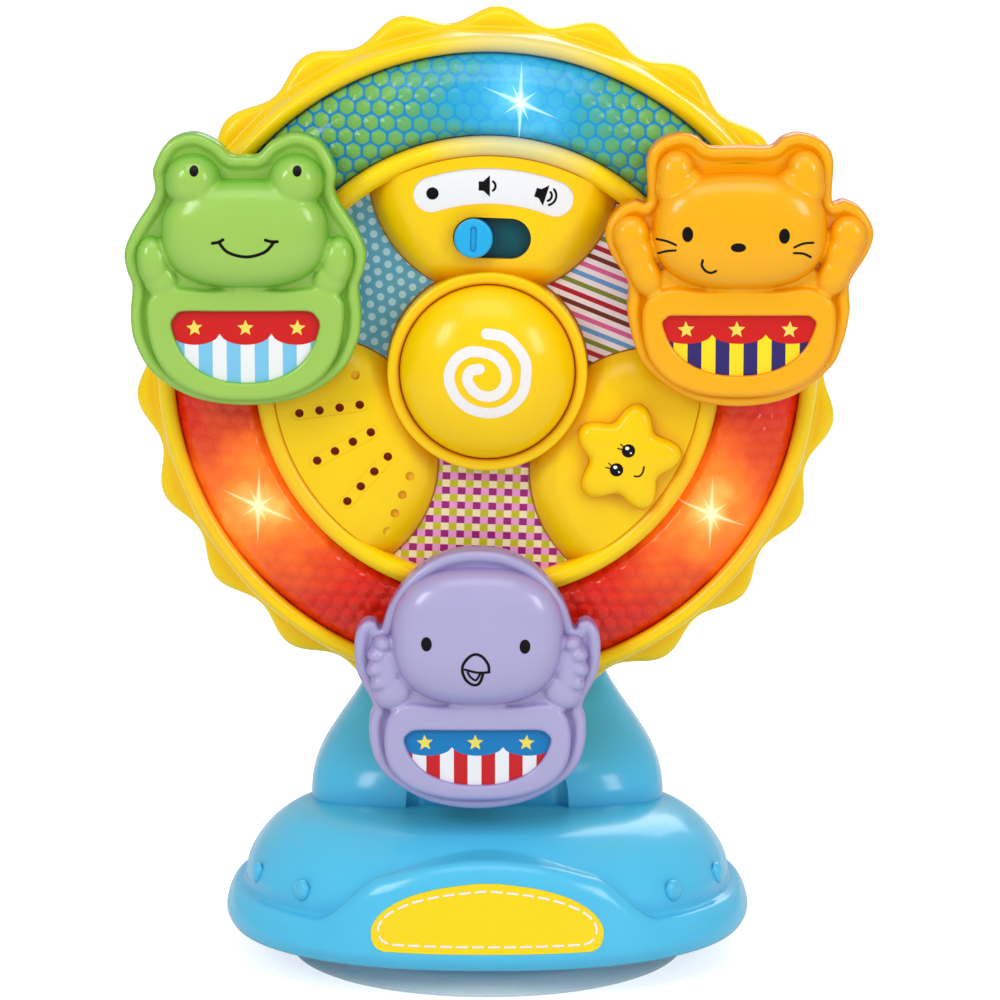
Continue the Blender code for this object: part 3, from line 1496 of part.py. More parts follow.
front_shell(wheel)
lens_segment("lens_blue", petal_angles[0], "lens_blue", wheel)
lens_segment("lens_red_left", petal_angles[1], "lens_red", wheel)
lens_segment("lens_red_right", petal_angles[2], "lens_red", wheel)
centre_panel(wheel)
print_sheet("print_stripes", shell_pivots[0], wheel)
print_sheet("print_dots", shell_pivots[1], wheel)
print_sheet("print_gingham", shell_pivots[2], wheel)
switch_label(wheel)
star_button(wheel)
dome_button(wheel)
volume_knob(wheel)
back_shell(wheel)
electronics(wheel)
axle(wheel)
pivot_pins(wheel)

gondola("frog", "frog_green", frog_reach, (
    frog_outline_shares, frog_head_shares, frog_lobe_shares, frog_belly_shares, frog_window_shares,
))
gondola("cat", "cat_orange", cat_reach, (
    cat_outline_shares, cat_head_shares, cat_lobe_shares, cat_belly_shares, cat_window_shares,
))
gondola("bird", "bird_lilac", bird_reach, (
    bird_outline_shares, bird_head_shares, bird_lobe_shares, bird_belly_shares, bird_window_shares,
))
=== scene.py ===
import json
from math import acos, asin, cos, hypot, pi, radians, sin, tau

import bmesh
import bpy
from mathutils import Matrix, Vector
from mathutils.bvhtree import BVHTree


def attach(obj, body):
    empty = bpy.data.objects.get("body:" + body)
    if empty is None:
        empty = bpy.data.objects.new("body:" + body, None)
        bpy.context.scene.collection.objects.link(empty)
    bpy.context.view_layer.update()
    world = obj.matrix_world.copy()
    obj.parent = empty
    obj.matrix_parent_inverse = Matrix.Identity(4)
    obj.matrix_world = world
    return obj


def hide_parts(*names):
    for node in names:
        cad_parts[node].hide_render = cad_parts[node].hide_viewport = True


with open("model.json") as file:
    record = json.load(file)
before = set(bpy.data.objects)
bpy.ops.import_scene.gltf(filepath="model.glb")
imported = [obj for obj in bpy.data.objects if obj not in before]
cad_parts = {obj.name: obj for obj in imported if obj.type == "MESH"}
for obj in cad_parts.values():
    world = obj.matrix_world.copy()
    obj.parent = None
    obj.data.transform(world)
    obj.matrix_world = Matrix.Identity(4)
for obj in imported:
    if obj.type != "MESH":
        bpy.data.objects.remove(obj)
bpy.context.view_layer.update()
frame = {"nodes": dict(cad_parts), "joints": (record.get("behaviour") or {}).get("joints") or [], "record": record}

# All shapes are drawn in millimetres and scaled when a piece is made.
MM = 0.001

# A carrier is the frame that a piece is drawn in and the body that it rides on.
places = {joint["name"]: Vector(joint["pos_m"]) for joint in frame["joints"] if "pos_m" in joint}
face_on = Matrix.Rotation(pi / 2, 4, "X")
wheel_frame = Matrix.Translation(places["wheel_spin"]) @ Matrix.Rotation(radians(2), 4, "Y") @ face_on
on_wheel = (wheel_frame, "wheel")
on_stand = (Matrix.Translation((places["wheel_spin"].x, 0, 0)), "base")
on_gondola = {
    name: (Matrix.Translation(places[f"{name}_swing"]) @ face_on, name) for name in ("frog", "cat", "bird")
}

# Finishes by name
finishes = {}

# Wheel, as in the solids
shell_pivots = [radians(30 + 120 * i) for i in range(3)]
petal_angles = [radians(90 + 120 * i) for i in range(3)]
led_places = {"blue": (70.0, radians(85)), "left": (70.0, radians(213)), "right": (70.0, radians(329))}
hub_inner, hub_outer, panel_radius = 22.9, 26.0, 55.7
panel_level, petal_level, hub_level = 16.4, 23.6, 26.0
petal_distance, star_distance, switch_height = 51.5, 42.8, 34.7
label_radius, label_half = 48.2, 4.7
rim_radius, pivot_radius, screw_radius = 88.4, 73.2, 64.0

# Gondolas, as in the solids: levels towards the viewer from the pivot's own
lip_level, field_level, frame_level, print_level = 34.4, 33.4, 37.0, 35.4

# Stand, as in the solids
axle_height = 160.0
base_half_x, base_half_y, base_power, base_lean = 70.8, 60.3, 2.3, 0.26
ledge_level, arch_level = 19.0, 36.2
dome_foot, dome_rise, dome_half_x, dome_half_y = 18.0, 21.9, 65.0, 54.0


# Mesh helpers

def polar(radius, angle):
    return (radius * cos(angle), radius * sin(angle))


def arc(start, end, steps):
    return [start + (end - start) * i / steps for i in range(steps + 1)]


def loft(loops, ring=False, caps=True, closed=True):
    """A surface through loops or rows of equal count, closed at its ends by caps or by meeting itself."""
    bm = bmesh.new()
    rows = [[bm.verts.new(point) for point in loop] for loop in loops]
    pairs = list(zip(rows, rows[1:]))
    if ring:
        pairs.append((rows[-1], rows[0]))
    elif caps:
        bm.faces.new(rows[0])
        bm.faces.new(rows[-1])
    for low, high in pairs:
        for i in range(len(low) if closed else len(low) - 1):
            j = (i + 1) % len(low)
            bm.faces.new((low[i], low[j], high[j], high[i]))
    return bm


def lathe(profile, steps):
    """A solid of revolution from (radius, level) points. A profile off the axis makes a ring."""
    ring = min(r for r, _ in profile) > 0
    loops = [[(*polar(r, tau * i / steps), level) for i in range(steps)] for r, level in profile]
    return tidy(loft(loops, ring=ring, caps=False))


def tidy(bm):
    bmesh.ops.remove_doubles(bm, verts=bm.verts, dist=0.0005)
    bmesh.ops.dissolve_degenerate(bm, edges=bm.edges, dist=0.0005)
    bmesh.ops.recalc_face_normals(bm, faces=bm.faces)
    return bm


def merged(*parts):
    """Several meshes as one, lying together."""
    whole = bmesh.new()
    for part in parts:
        mesh = bpy.data.meshes.new("part")
        part.to_mesh(mesh)
        part.free()
        whole.from_mesh(mesh)
        bpy.data.meshes.remove(mesh)
    return whole


def moved(bm, x=0, y=0, z=0, turn=0):
    bm.transform(Matrix.Translation((x, y, z)) @ Matrix.Rotation(turn, 4, "Z"))
    return bm


def shifted(carrier, x, y, z=0, body=None):
    """A carrier's frame moved to a spot in it, on the same body or on another."""
    return carrier[0] @ Matrix.Translation(Vector((x, y, z)) * MM), body or carrier[1]


def rounding(radius, level, steps):
    """(inset, level) points over a rounded top edge, from its side up."""
    if not radius:
        return [(0, level)]
    return [(radius * (1 - cos(a)), level - radius * (1 - sin(a))) for a in arc(0, pi / 2, steps)]


def slab(outline, low, high, top=0, foot=0, steps=4):
    """A thickened outline with rounded top and bottom edges."""
    levels = [(inset, 2 * low - level) for inset, level in reversed(rounding(foot, low, steps))]
    levels += rounding(top, high, steps)
    loops = [[(x, y, level) for x, y in inset_loop(outline, inset)] for inset, level in levels]
    return tidy(loft(loops))


def block(x_range, y_range, z_range, **edges):
    (x0, x1), (y0, y1) = x_range, y_range
    return slab([(x0, y0), (x1, y0), (x1, y1), (x0, y1)], *z_range, **edges)


def rod(radius, low, high, steps=48, x=0, y=0, **edges):
    circle = [(x + radius * cos(a), y + radius * sin(a)) for a in arc(0, tau, steps)[1:]]
    return slab(circle, low, high, **edges)


def cushion(half_x, half_y, crest, level, sink, power=1.0, fullness=1.0, segments=64, rings=20):
    """A pillow on a flat foot. A power or fullness under one makes it squarer in plan or section."""
    loops = []
    for up in arc(0, pi / 2, rings)[:-1]:
        wide = cos(up) ** fullness
        lift = sin(up) ** fullness * (crest - level)
        loop = []
        for i in range(segments):
            c, s = cos(tau * i / segments), sin(tau * i / segments)
            stretch = (abs(c) ** (2 / power) + abs(s) ** (2 / power)) ** (-power / 2)
            loop.append((c * stretch * half_x * wide, s * stretch * half_y * wide, level + lift))
        loops.append(loop)
    loops.insert(0, [(x, y, level - sink) for x, y, _ in loops[0]])
    loops.append([(x * 0.01, y * 0.01, crest) for x, y, _ in loops[1]])
    return tidy(loft(loops))


def superellipse(half_x, half_y, power, steps):
    points = []
    for i in range(steps):
        c, s = cos(tau * i / steps), sin(tau * i / steps)
        x = half_x * abs(c) ** (2 / power) * (1 if c >= 0 else -1)
        y = half_y * abs(s) ** (2 / power) * (1 if s >= 0 else -1)
        points.append((x, y))
    return points


def curve_through(before, start, end, after, t):
    weights = (
        (-t + 2 * t ** 2 - t ** 3) / 2,
        (2 - 5 * t ** 2 + 3 * t ** 3) / 2,
        (t + 4 * t ** 2 - 3 * t ** 3) / 2,
        (-(t ** 2) + t ** 3) / 2,
    )
    points = (before, start, end, after)
    return tuple(sum(w * p[k] for w, p in zip(weights, points)) for k in range(len(start)))


def smooth_line(points, per_span, closed=False):
    """A smooth line through the points: a loop, or open with both ends kept."""
    result = []
    count = len(points)
    for i in range(count if closed else count - 1):
        near = [i + k - 1 for k in range(4)]
        near = [points[k % count if closed else min(max(k, 0), count - 1)] for k in near]
        result += [curve_through(*near, step / per_span) for step in range(per_span)]
    return result if closed else result + [tuple(points[-1])]


def soften(points, radius, steps=4):
    """An open line with its corners rounded off."""
    result = [points[0]]
    for before, corner, after in zip(points, points[1:], points[2:]):
        ways = []
        for other in (before, after):
            away = (other[0] - corner[0], other[1] - corner[1])
            length = hypot(*away)
            reach = min(radius, length * 0.45) / length
            ways.append((corner[0] + away[0] * reach, corner[1] + away[1] * reach))
        for t in arc(0, 1, steps):
            a, b, c = (1 - t) ** 2, 2 * t * (1 - t), t ** 2
            result.append(tuple(a * ways[0][k] + b * corner[k] + c * ways[1][k] for k in range(2)))
    return result + [points[-1]]


def mirrored_loop(half, scale, per_span=8):
    """A smooth closed outline from the points of its right half."""
    right = [(x * scale, y * scale) for x, y in half]
    left = [(-x, y) for x, y in reversed(right[1:-1])]
    return smooth_line(right + left, per_span, closed=True)


def inset_loop(points, distance):
    if not distance:
        return list(points)
    area = sum(a[0] * b[1] - b[0] * a[1] for a, b in zip(points, points[1:] + points[:1]))
    side = 1 if area > 0 else -1
    result = []
    for i, (x, y) in enumerate(points):
        x0, y0 = points[i - 1]
        x1, y1 = points[(i + 1) % len(points)]
        length = hypot(x1 - x0, y1 - y0)
        along, across = side * distance * (x1 - x0) / length, side * distance * (y1 - y0) / length
        result.append((x - across, y + along))
    return result


def clear_inset(points, distance):
    """An inset loop whose folds, where a corner is tight, are drawn out straight."""
    loop = inset_loop(points, distance)
    if not distance:
        return loop
    good = [min(hypot(x - px, y - py) for px, py in points) > distance * 0.985 for x, y in loop]
    count = len(loop)
    result = list(loop)
    for i in range(count):
        if good[i]:
            continue
        back = next(k for k in range(1, count) if good[i - k])
        ahead = next(k for k in range(1, count) if good[(i + k) % count])
        (x0, y0), (x1, y1) = loop[i - back], loop[(i + ahead) % count]
        share = back / (back + ahead)
        result[i] = (x0 + (x1 - x0) * share, y0 + (y1 - y0) * share)
    return result


def stadium(length, height, steps):
    reach = (length - height) / 2
    right = [(reach + height / 2 * cos(a), height / 2 * sin(a)) for a in arc(-pi / 2, pi / 2, steps)]
    return right + [(-x, -y) for x, y in right]


def star_points(radius, tips=5, depth=0.45, turn=pi / 2):
    return [polar(radius * (depth if i % 2 else 1), turn + pi * i / tips) for i in range(2 * tips)]


def helper_object(bm):
    mesh = bpy.data.meshes.new("tool")
    bm.to_mesh(mesh)
    bm.free()
    obj = bpy.data.objects.new("tool", mesh)
    bpy.context.scene.collection.objects.link(obj)
    return obj


def with_modifiers(objects):
    """The first helper's final shape, with all the helpers cleared away."""
    bpy.context.view_layer.update()
    final = objects[0].evaluated_get(bpy.context.evaluated_depsgraph_get())
    made = bpy.data.meshes.new_from_object(final)
    bm = bmesh.new()
    bm.from_mesh(made)
    bpy.data.meshes.remove(made)
    for obj in objects:
        mesh = obj.data
        bpy.data.objects.remove(obj, do_unlink=True)
        bpy.data.meshes.remove(mesh)
    return bm


def boolean(body, tools, operation="DIFFERENCE"):
    """Cuts or joins closed meshes exactly."""
    objects = [helper_object(bm) for bm in (body, *tools)]
    for tool in objects[1:]:
        modifier = objects[0].modifiers.new("cut", "BOOLEAN")
        modifier.operation = operation
        modifier.solver = "EXACT"
        modifier.object = tool
    return tidy(with_modifiers(objects))


def moulded(bm, voxel, rounds, share):
    """Overlapping closed shapes fused into one skin, with soft fillets where they meet."""
    obj = helper_object(bm)
    fuse = obj.modifiers.new("fuse", "REMESH")
    fuse.mode = "VOXEL"
    fuse.voxel_size = voxel
    soften_edges = obj.modifiers.new("soften", "SMOOTH")
    soften_edges.factor = 0.5
    soften_edges.iterations = rounds
    thin = obj.modifiers.new("thin", "DECIMATE")
    thin.ratio = share
    return with_modifiers([obj])


def piece(name, bm, carrier, finish, *nodes, sharp=35):
    """Makes a finished piece that rides with its carrier and stands for the CAD nodes named."""
    matrix, body = carrier
    mesh = bpy.data.meshes.new(name)
    bm.to_mesh(mesh)
    bm.free()
    mesh.transform(Matrix.Scale(MM, 4))
    mesh.shade_smooth()
    mesh.set_sharp_from_angle(angle=radians(sharp))
    mesh.materials.append(finishes[finish])
    obj = bpy.data.objects.new(name, mesh)
    bpy.context.scene.collection.objects.link(obj)
    obj.matrix_world = matrix
    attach(obj, body)
    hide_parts(*nodes)
    return obj


# Printed marks: flat shapes laid on a surface that faces the local +Z

def disc(centre, half_x, half_y, turn=0, steps=36, rings=4):
    """An ellipse as rings of faces, so that it can follow a curved surface."""
    loops = []
    for share in arc(0, 1, rings):
        points = [polar(share, tau * i / steps) for i in range(steps)]
        loops.append([(x * half_x, y * half_y, 0) for x, y in points])
    bm = loft(loops, caps=False)
    bmesh.ops.remove_doubles(bm, verts=bm.verts, dist=1e-5)
    return moved(bm, *centre, turn=turn)


def stroke(points, width, per_span=8):
    """A drawn line with round ends."""
    line = [Vector(p) for p in smooth_line(points, per_span)]
    start = (line[0] - line[1]).normalized()
    end = (line[-1] - line[-2]).normalized()
    half = width / 2
    samples = [(line[0] + start * half * sin(a), half * cos(a)) for a in arc(pi / 2, 0, 5)]
    samples += [(p, half) for p in line[1:-1]]
    samples += [(line[-1] + end * half * sin(a), half * cos(a)) for a in arc(0, pi / 2, 5)]
    rows = []
    for i, (point, wide) in enumerate(samples):
        way = samples[min(i + 1, len(samples) - 1)][0] - samples[max(i - 1, 0)][0]
        side = Vector((-way.y, way.x)).normalized() * max(wide, 0.01)
        rows.append([(*(point + side * across), 0) for across in (1, 0.4, -0.4, -1)])
    return loft(rows, caps=False, closed=False)


def laid_on(host, bm, lift=0.05):
    """Drops a flat mesh, drawn in the host's own frame, on to the host's front."""
    tree = BVHTree.FromPolygons(
        [v.co / MM for v in host.data.vertices], [tuple(p.vertices) for p in host.data.polygons]
    )
    for vertex in bm.verts:
        spot, *_ = tree.ray_cast(Vector((vertex.co.x, vertex.co.y, 200)), Vector((0, 0, -1)))
        vertex.co.z = spot.z + lift
    bmesh.ops.recalc_face_normals(bm, faces=bm.faces)
    if sum(face.normal.z for face in bm.faces) < 0:
        bmesh.ops.reverse_faces(bm, faces=bm.faces)
    return bm


# Node helpers

def rgb(red, green, blue):
    """A screen colour, 0 to 255, in linear light."""
    shares = [value / 255 for value in (red, green, blue)]
    return tuple(s / 12.92 if s <= 0.04045 else ((s + 0.055) / 1.055) ** 2.4 for s in shares) + (1.0,)


def darker(colour, share):
    return tuple(c * share for c in colour[:3]) + (1.0,)


class Finish:
    """A material and a short way to write its nodes."""

    def __init__(self, name, **values):
        self.material = bpy.data.materials.new(name)
        self.material.use_nodes = True
        finishes[name] = self.material
        self.nodes = self.material.node_tree.nodes
        self.links = self.material.node_tree.links
        self.shader = self.nodes["Principled BSDF"]
        for socket, value in values.items():
            self.shader.inputs[socket.replace("_", " ")].default_value = value
        self.point = self.new("TexCoord", output="Object")
        self.place = self.vector("SCALE", self.point, scale=1 / MM)

    def new(self, kind, *inputs, output=0, named=None, **settings):
        node = self.nodes.new("ShaderNode" + kind)
        for key, value in settings.items():
            setattr(node, key, value)
        for i, value in enumerate(inputs):
            self.feed(node.inputs[i], value)
        for key, value in (named or {}).items():
            self.feed(node.inputs[key], value)
        return node.outputs[output]

    def feed(self, socket, value):
        if isinstance(value, bpy.types.NodeSocket):
            self.links.new(value, socket)
        elif value is not None:
            socket.default_value = value

    def math(self, operation, *values, clamp=False):
        return self.new("Math", *values, operation=operation, use_clamp=clamp)

    def vector(self, operation, *values, scale=None):
        output = 1 if operation in ("LENGTH", "DISTANCE", "DOT_PRODUCT") else 0
        named = {"Scale": scale} if scale is not None else None
        return self.new("VectorMath", *values, output=output, named=named, operation=operation)

    def mix(self, share, low, high):
        named = {0: share, 6: low, 7: high}
        return self.new("Mix", output=2, named=named, data_type="RGBA")

    def ramp(self, share, stops, interpolation="LINEAR"):
        """A colour ramp through (place, colour) stops."""
        node = self.nodes.new("ShaderNodeValToRGB")
        node.color_ramp.interpolation = interpolation
        elements = node.color_ramp.elements
        while len(elements) < len(stops):
            elements.new(0.5)
        for element, (place, colour) in zip(elements, stops):
            element.position = place
            element.color = colour
        self.feed(node.inputs[0], share)
        return node.outputs[0]

    def between(self, value, low, high, to_low=0.0, to_high=1.0):
        return self.new("MapRange", value, low, high, to_low, to_high)

    def spread(self, noise, low=0.0, high=1.0):
        """The usual range of a noise laid out between two values."""
        return self.between(noise, 0.3, 0.7, low, high)

    def noise(self, scale, detail=2.0):
        return self.new("TexNoise", self.place, named={"Scale": scale, "Detail": detail})

    def split(self, vector):
        node = self.nodes.new("ShaderNodeSeparateXYZ")
        self.feed(node.inputs[0], vector)
        return node.outputs[0], node.outputs[1]

    def away_from(self, x, y):
        """Distance in the drawing plane from a point, in millimetres."""
        flat = self.vector("MULTIPLY", self.place, (1, 1, 0))
        return self.vector("DISTANCE", flat, (x, y, 0))

    def shade(self, socket, value):
        self.feed(self.shader.inputs[socket], value)

    def bump(self, height, strength, distance):
        normal = self.new("Bump", named={"Strength": strength, "Distance": distance * MM, "Height": height})
        self.shade("Normal", normal)


def plastic(name, colour, deep, roughness=0.22, gloss=0.22, lamp_glows=(), shaded_flanks=False):
    """Glossy moulded plastic: painted shade, a deeper colour in creases or on flanks; painted lamp light round the
    lamps; uneven gloss and a faint grain.
    """
    finish = Finish(name, Coat_Weight=gloss * 0.7, Coat_Roughness=0.08, Specular_IOR_Level=gloss)
    # Painted shade: the colour deepens to deep on flanks turned away from the front, or in creases found by ambient
    # occlusion.
    if shaded_flanks:
        facing = finish.vector("DOT_PRODUCT", finish.new("TexCoord", output="Normal"), (0, 0, 1))
        share = finish.between(facing, 0.1, 0.94)
    else:
        crease_shade = finish.new("AmbientOcclusion", output=1, named={"Distance": 0.005}, samples=6)
        share = finish.math("POWER", crease_shade, 1.4)
    base = finish.mix(share, deep, colour)
    mottle = finish.between(finish.noise(0.07), 0.35, 0.7, 0.0, 0.07)
    base = finish.mix(mottle, base, deep)
    # The lamps light only the front of the wheel, which starts between these two levels.
    front = finish.between(finish.vector("DOT_PRODUCT", finish.place, (0, 0, 1)), 7, 13)
    # Painted lamp light: each lamp's colour laid on the base colour near it, on the front of the wheel only.
    for x, y, reach, glow_colour, strength in lamp_glows:
        near = finish.between(finish.away_from(x, y), 0, reach, strength, 0)
        base = finish.mix(finish.math("MULTIPLY", near, front), base, glow_colour)
    finish.shade("Base Color", base)
    finish.shade("Roughness", finish.spread(finish.noise(0.6), roughness - 0.03, roughness + 0.05))
    finish.bump(finish.noise(2.2, 4), 0.04, 0.015)


def printed(name, colour, roughness=0.32, gloss=0.26):
    """A printed film: even colour with the slight tooth of paper under its gloss."""
    finish = Finish(name, Coat_Weight=gloss / 2, Coat_Roughness=0.12, Specular_IOR_Level=gloss)
    tooth = finish.noise(3.0, 3)
    finish.shade("Base Color", finish.mix(finish.between(tooth, 0.35, 0.75, 0, 0.5), colour, darker(colour, 0.86)))
    finish.shade("Roughness", finish.spread(tooth, roughness - 0.04, roughness + 0.08))
    finish.bump(tooth, 0.04, 0.02)


def plain(name, colour, roughness, metallic=0.0, grain=1.5, depth=0.04):
    """A hidden or underside finish with its own grain."""
    finish = Finish(name, Metallic=metallic)
    noise = finish.noise(grain, 4)
    finish.shade("Base Color", finish.mix(finish.spread(noise), darker(colour, 0.8), colour))
    finish.shade("Roughness", finish.spread(noise, roughness - 0.06, roughness + 0.08))
    finish.bump(noise, 0.15, depth)


def hex_distance(finish, pitch):
    """Distance from a honeycomb's nearest centre, in shares of its pitch: round, and along its hexagon."""
    tall = 3 ** 0.5
    spread = finish.vector("MULTIPLY", finish.place, (1 / pitch, 1 / pitch / tall, 0))
    rounds, hexagons = [], []
    for shift in (0, 0.5):
        cell = finish.vector("FRACTION", finish.vector("ADD", spread, (shift, shift, 0)))
        cell = finish.vector("SUBTRACT", cell, (0.5, 0.5, 0))
        cell = finish.vector("ABSOLUTE", finish.vector("MULTIPLY", cell, (1, tall, 0)))
        rounds.append(finish.vector("LENGTH", cell))
        sides = [finish.vector("DOT_PRODUCT", cell, side) for side in ((1, 0, 0), (0.5, tall / 2, 0))]
        hexagons.append(finish.math("MAXIMUM", *sides))
    return finish.math("MINIMUM", *rounds), finish.math("MINIMUM", *hexagons)


def glint(finish, centre, rays):
    """A painted star glint of thin tapering rays: (heading in degrees, length, width) each."""
    across = finish.vector("SUBTRACT", finish.place, (*centre, 0))
    light = None
    for heading, length, width in rays:
        c, s = cos(radians(heading)), sin(radians(heading))
        along = finish.math("ABSOLUTE", finish.vector("DOT_PRODUCT", across, (c, s, 0)))
        beside = finish.math("ABSOLUTE", finish.vector("DOT_PRODUCT", across, (-s, c, 0)))
        taper = finish.between(along, 0, length, 1, 0)
        reach = finish.math("ADD", finish.math("MULTIPLY", taper, width), 0.001)
        ray = finish.math("SUBTRACT", 1.0, finish.math("DIVIDE", beside, reach), clamp=True)
        ray = finish.math("MULTIPLY", ray, finish.math("POWER", taper, 0.5))
        light = ray if light is None else finish.math("MAXIMUM", light, ray)
    return light


def lens(name, lamp, walls, cells, glow, white):
    """Light band: a honeycomb moulded under gloss, with the light of one lamp behind it painted on: paler colours near
    the lamp, an emitted glow and a painted star glint.
    """
    finish = Finish(
        name, Roughness=0.14, Coat_Weight=0.25, Coat_Roughness=0.03, Specular_IOR_Level=0.25, Emission_Strength=1.0
    )
    x, y = polar(*led_places[lamp])
    away = finish.away_from(x, y)
    # Painted lamp light: the walls and cells pale from their far colours towards the lamp.
    share = finish.between(away, 0, 70)
    cell, hexagon = hex_distance(finish, 4.3)
    rounded = finish.math("MULTIPLY", finish.math("ADD", cell, hexagon), 0.5)
    inside = finish.between(rounded, 0.47, 0.38)
    mottle = finish.spread(finish.noise(0.09), -0.06, 0.06)
    share = finish.math("ADD", share, mottle, clamp=True)
    finish.shade("Base Color", finish.mix(inside, finish.ramp(share, walls), finish.ramp(share, cells)))
    # Painted glint and glow: a star of rays and a bright core round the lamp, emitted in white over the glow ramp.
    rays = glint(finish, (x, y), ((90, 11, 1.0), (-21, 11, 1.0), (35, 5.5, 0.7), (-63, 5.5, 0.7)))
    core = finish.math("POWER", finish.between(away, 0, 4.0, 1, 0), 2.0)
    star = finish.math("ADD", rays, finish.math("MULTIPLY", core, 0.6), clamp=True)
    finish.shade("Emission Color", finish.mix(star, finish.ramp(share, glow), white))
    # The relief fades near the lamp, where the light drowns it.
    height = finish.math("MULTIPLY", finish.between(cell, 0.18, 0.5, 1, 0), finish.between(away, 4, 26))
    finish.bump(height, 0.6, 0.7)


def film(name, turn=0):
    """A patterned film's finish, still without its colours."""
    finish = Finish(name, Coat_Weight=0.1, Specular_IOR_Level=0.25)
    if turn:
        angle = {"Angle": radians(turn)}
        finish.place = finish.new("VectorRotate", finish.place, named=angle, rotation_type="Z_AXIS")
    finish.shade("Roughness", finish.spread(finish.noise(3.0), 0.3, 0.42))
    return finish


def dotted(name):
    """Light dots on blue, in a honeycomb."""
    finish = film(name, turn=22)
    pitch = 3.3
    spot = finish.math("MULTIPLY", hex_distance(finish, pitch)[0], pitch)
    inside = finish.between(spot, 1.05, 0.9)
    finish.shade("Base Color", finish.mix(inside, rgb(96, 168, 198), rgb(178, 218, 232)))


def lined(name):
    """Coloured stripes on white, sloping down to the right."""
    finish = film(name)
    slope = finish.vector("DOT_PRODUCT", finish.place, (sin(radians(20)), cos(radians(20)), 0))
    inks = [(178, 20, 42), (126, 140, 46), (104, 160, 218), (220, 98, 158), (112, 44, 26)]
    step = finish.math("FRACT", finish.math("DIVIDE", slope, 2.62 * len(inks)))
    rows = []
    for i, ink in enumerate(inks):
        rows += [(i / 5, *ink), (i / 5 + 0.094, 240, 232, 240)]
    finish.shade("Base Color", finish.ramp(step, stops(*rows), "CONSTANT"))


def gingham(name):
    """Two-coloured checks."""
    finish = film(name)
    checks = finish.split(finish.vector("DIVIDE", finish.place, (4.1, 3.85, 1)))
    columns, rows = (
        finish.math("LESS_THAN", finish.math("FRACT", finish.math("ADD", way, start)), 0.5)
        for way, start in zip(checks, (0.62, 0.3))
    )
    rose = finish.mix(columns, rgb(235, 160, 215), rgb(160, 28, 124))
    lime = finish.mix(columns, rgb(196, 196, 24), rgb(246, 232, 194))
    finish.shade("Base Color", finish.mix(rows, rose, lime))


def awning(name, light, dark, middle):
    """Upright stripes with a light one at the middle."""
    finish = film(name)
    across = finish.math("SUBTRACT", finish.split(finish.place)[0], middle)
    step = finish.math("FRACT", finish.math("ADD", finish.math("DIVIDE", across, 7.2), 0.25))
    finish.shade("Base Color", finish.mix(finish.math("LESS_THAN", step, 0.5), dark, light))


def clear_rubber(name):
    """The pale, slightly cloudy rubber of the suction cup."""
    finish = Finish(
        name, Transmission_Weight=0.1, IOR=1.42, Coat_Weight=0.3, Subsurface_Weight=0.4, Subsurface_Scale=0.006
    )
    noise = finish.noise(0.5, 3)
    finish.shade("Base Color", finish.mix(finish.spread(noise), rgb(248, 251, 253), rgb(252, 254, 255)))
    finish.shade("Roughness", finish.spread(noise, 0.3, 0.33))


def lamp_tints(share):
    """Coloured light that the lamps throw on the plastic round them: (x, y, reach, colour, strength)."""
    blue, left, right = (polar(*place) for place in led_places.values())
    warm = (30, rgb(255, 150, 70), share * 0.6)
    return (*blue, 27, rgb(140, 210, 232), share), (*left, *warm), (*right, *warm)


def stops(*rows):
    """Colour ramp stops from (place, red, green, blue) rows."""
    return [(place, rgb(*colour)) for place, *colour in rows]


# Each plastic's second colour is its painted shade in creases or on flanks, and the colour that its random mottle
# leans to.
plastic("rim_yellow", rgb(255, 218, 2), rgb(248, 172, 0), lamp_glows=lamp_tints(0.65))
plastic("panel_yellow", rgb(252, 210, 4), rgb(230, 148, 0))
plastic("base_blue", rgb(80, 194, 236), rgb(24, 158, 214), gloss=0.3)
plastic("knob_blue", rgb(34, 176, 236), rgb(8, 118, 190), roughness=0.3)
# Painted shade: the slide plate is the knob's blue plastic, coloured a dark teal for the shade it lies in under the
# slot.
plastic("slot_teal", rgb(0, 86, 98), rgb(0, 50, 62), roughness=0.35)
plastic("frog_green", rgb(158, 202, 88), rgb(92, 174, 36), gloss=0.34, shaded_flanks=True)
plastic("cat_orange", rgb(248, 178, 0), rgb(236, 138, 0), gloss=0.3, shaded_flanks=True)
plastic("bird_lilac", rgb(174, 170, 212), rgb(152, 132, 192), gloss=0.36, shaded_flanks=True)
# The first stops of each lens ramp are painted lamp light near the lamp; white is the colour of the painted glint.
lens(
    "lens_blue", "blue",
    walls=stops((0, 66, 182, 232), (0.22, 16, 152, 212), (0.5, 0, 132, 190), (1, 0, 118, 168)),
    cells=stops(
        (0, 78, 188, 232), (0.2, 40, 166, 204), (0.34, 86, 170, 120), (0.5, 114, 178, 84), (1, 118, 174, 72),
    ),
    glow=stops((0, 70, 116, 150), (0.1, 16, 54, 84), (0.3, 0, 22, 30), (1, 0, 12, 10)),
    white=rgb(238, 250, 255),
)
for side in ("left", "right"):
    lens(
        f"lens_red_{side}", side,
        walls=stops(
            (0, 250, 150, 50), (0.14, 246, 124, 30), (0.28, 238, 80, 18), (0.45, 222, 24, 8), (1, 200, 6, 6),
        ),
        cells=stops(
            (0, 250, 152, 52), (0.14, 246, 128, 32), (0.28, 240, 86, 20), (0.45, 230, 34, 10), (1, 212, 12, 8),
        ),
        glow=stops((0, 240, 160, 90), (0.12, 150, 66, 12), (0.32, 60, 12, 0), (1, 24, 0, 0)),
        white=rgb(255, 236, 200),
    )
printed("white_film", rgb(240, 242, 246))
printed("black_ink", rgb(14, 8, 10), gloss=0.12)
printed("white_ink", rgb(244, 240, 240))
printed("sign_yellow", rgb(250, 220, 20))
printed("star_yellow", rgb(246, 226, 92))
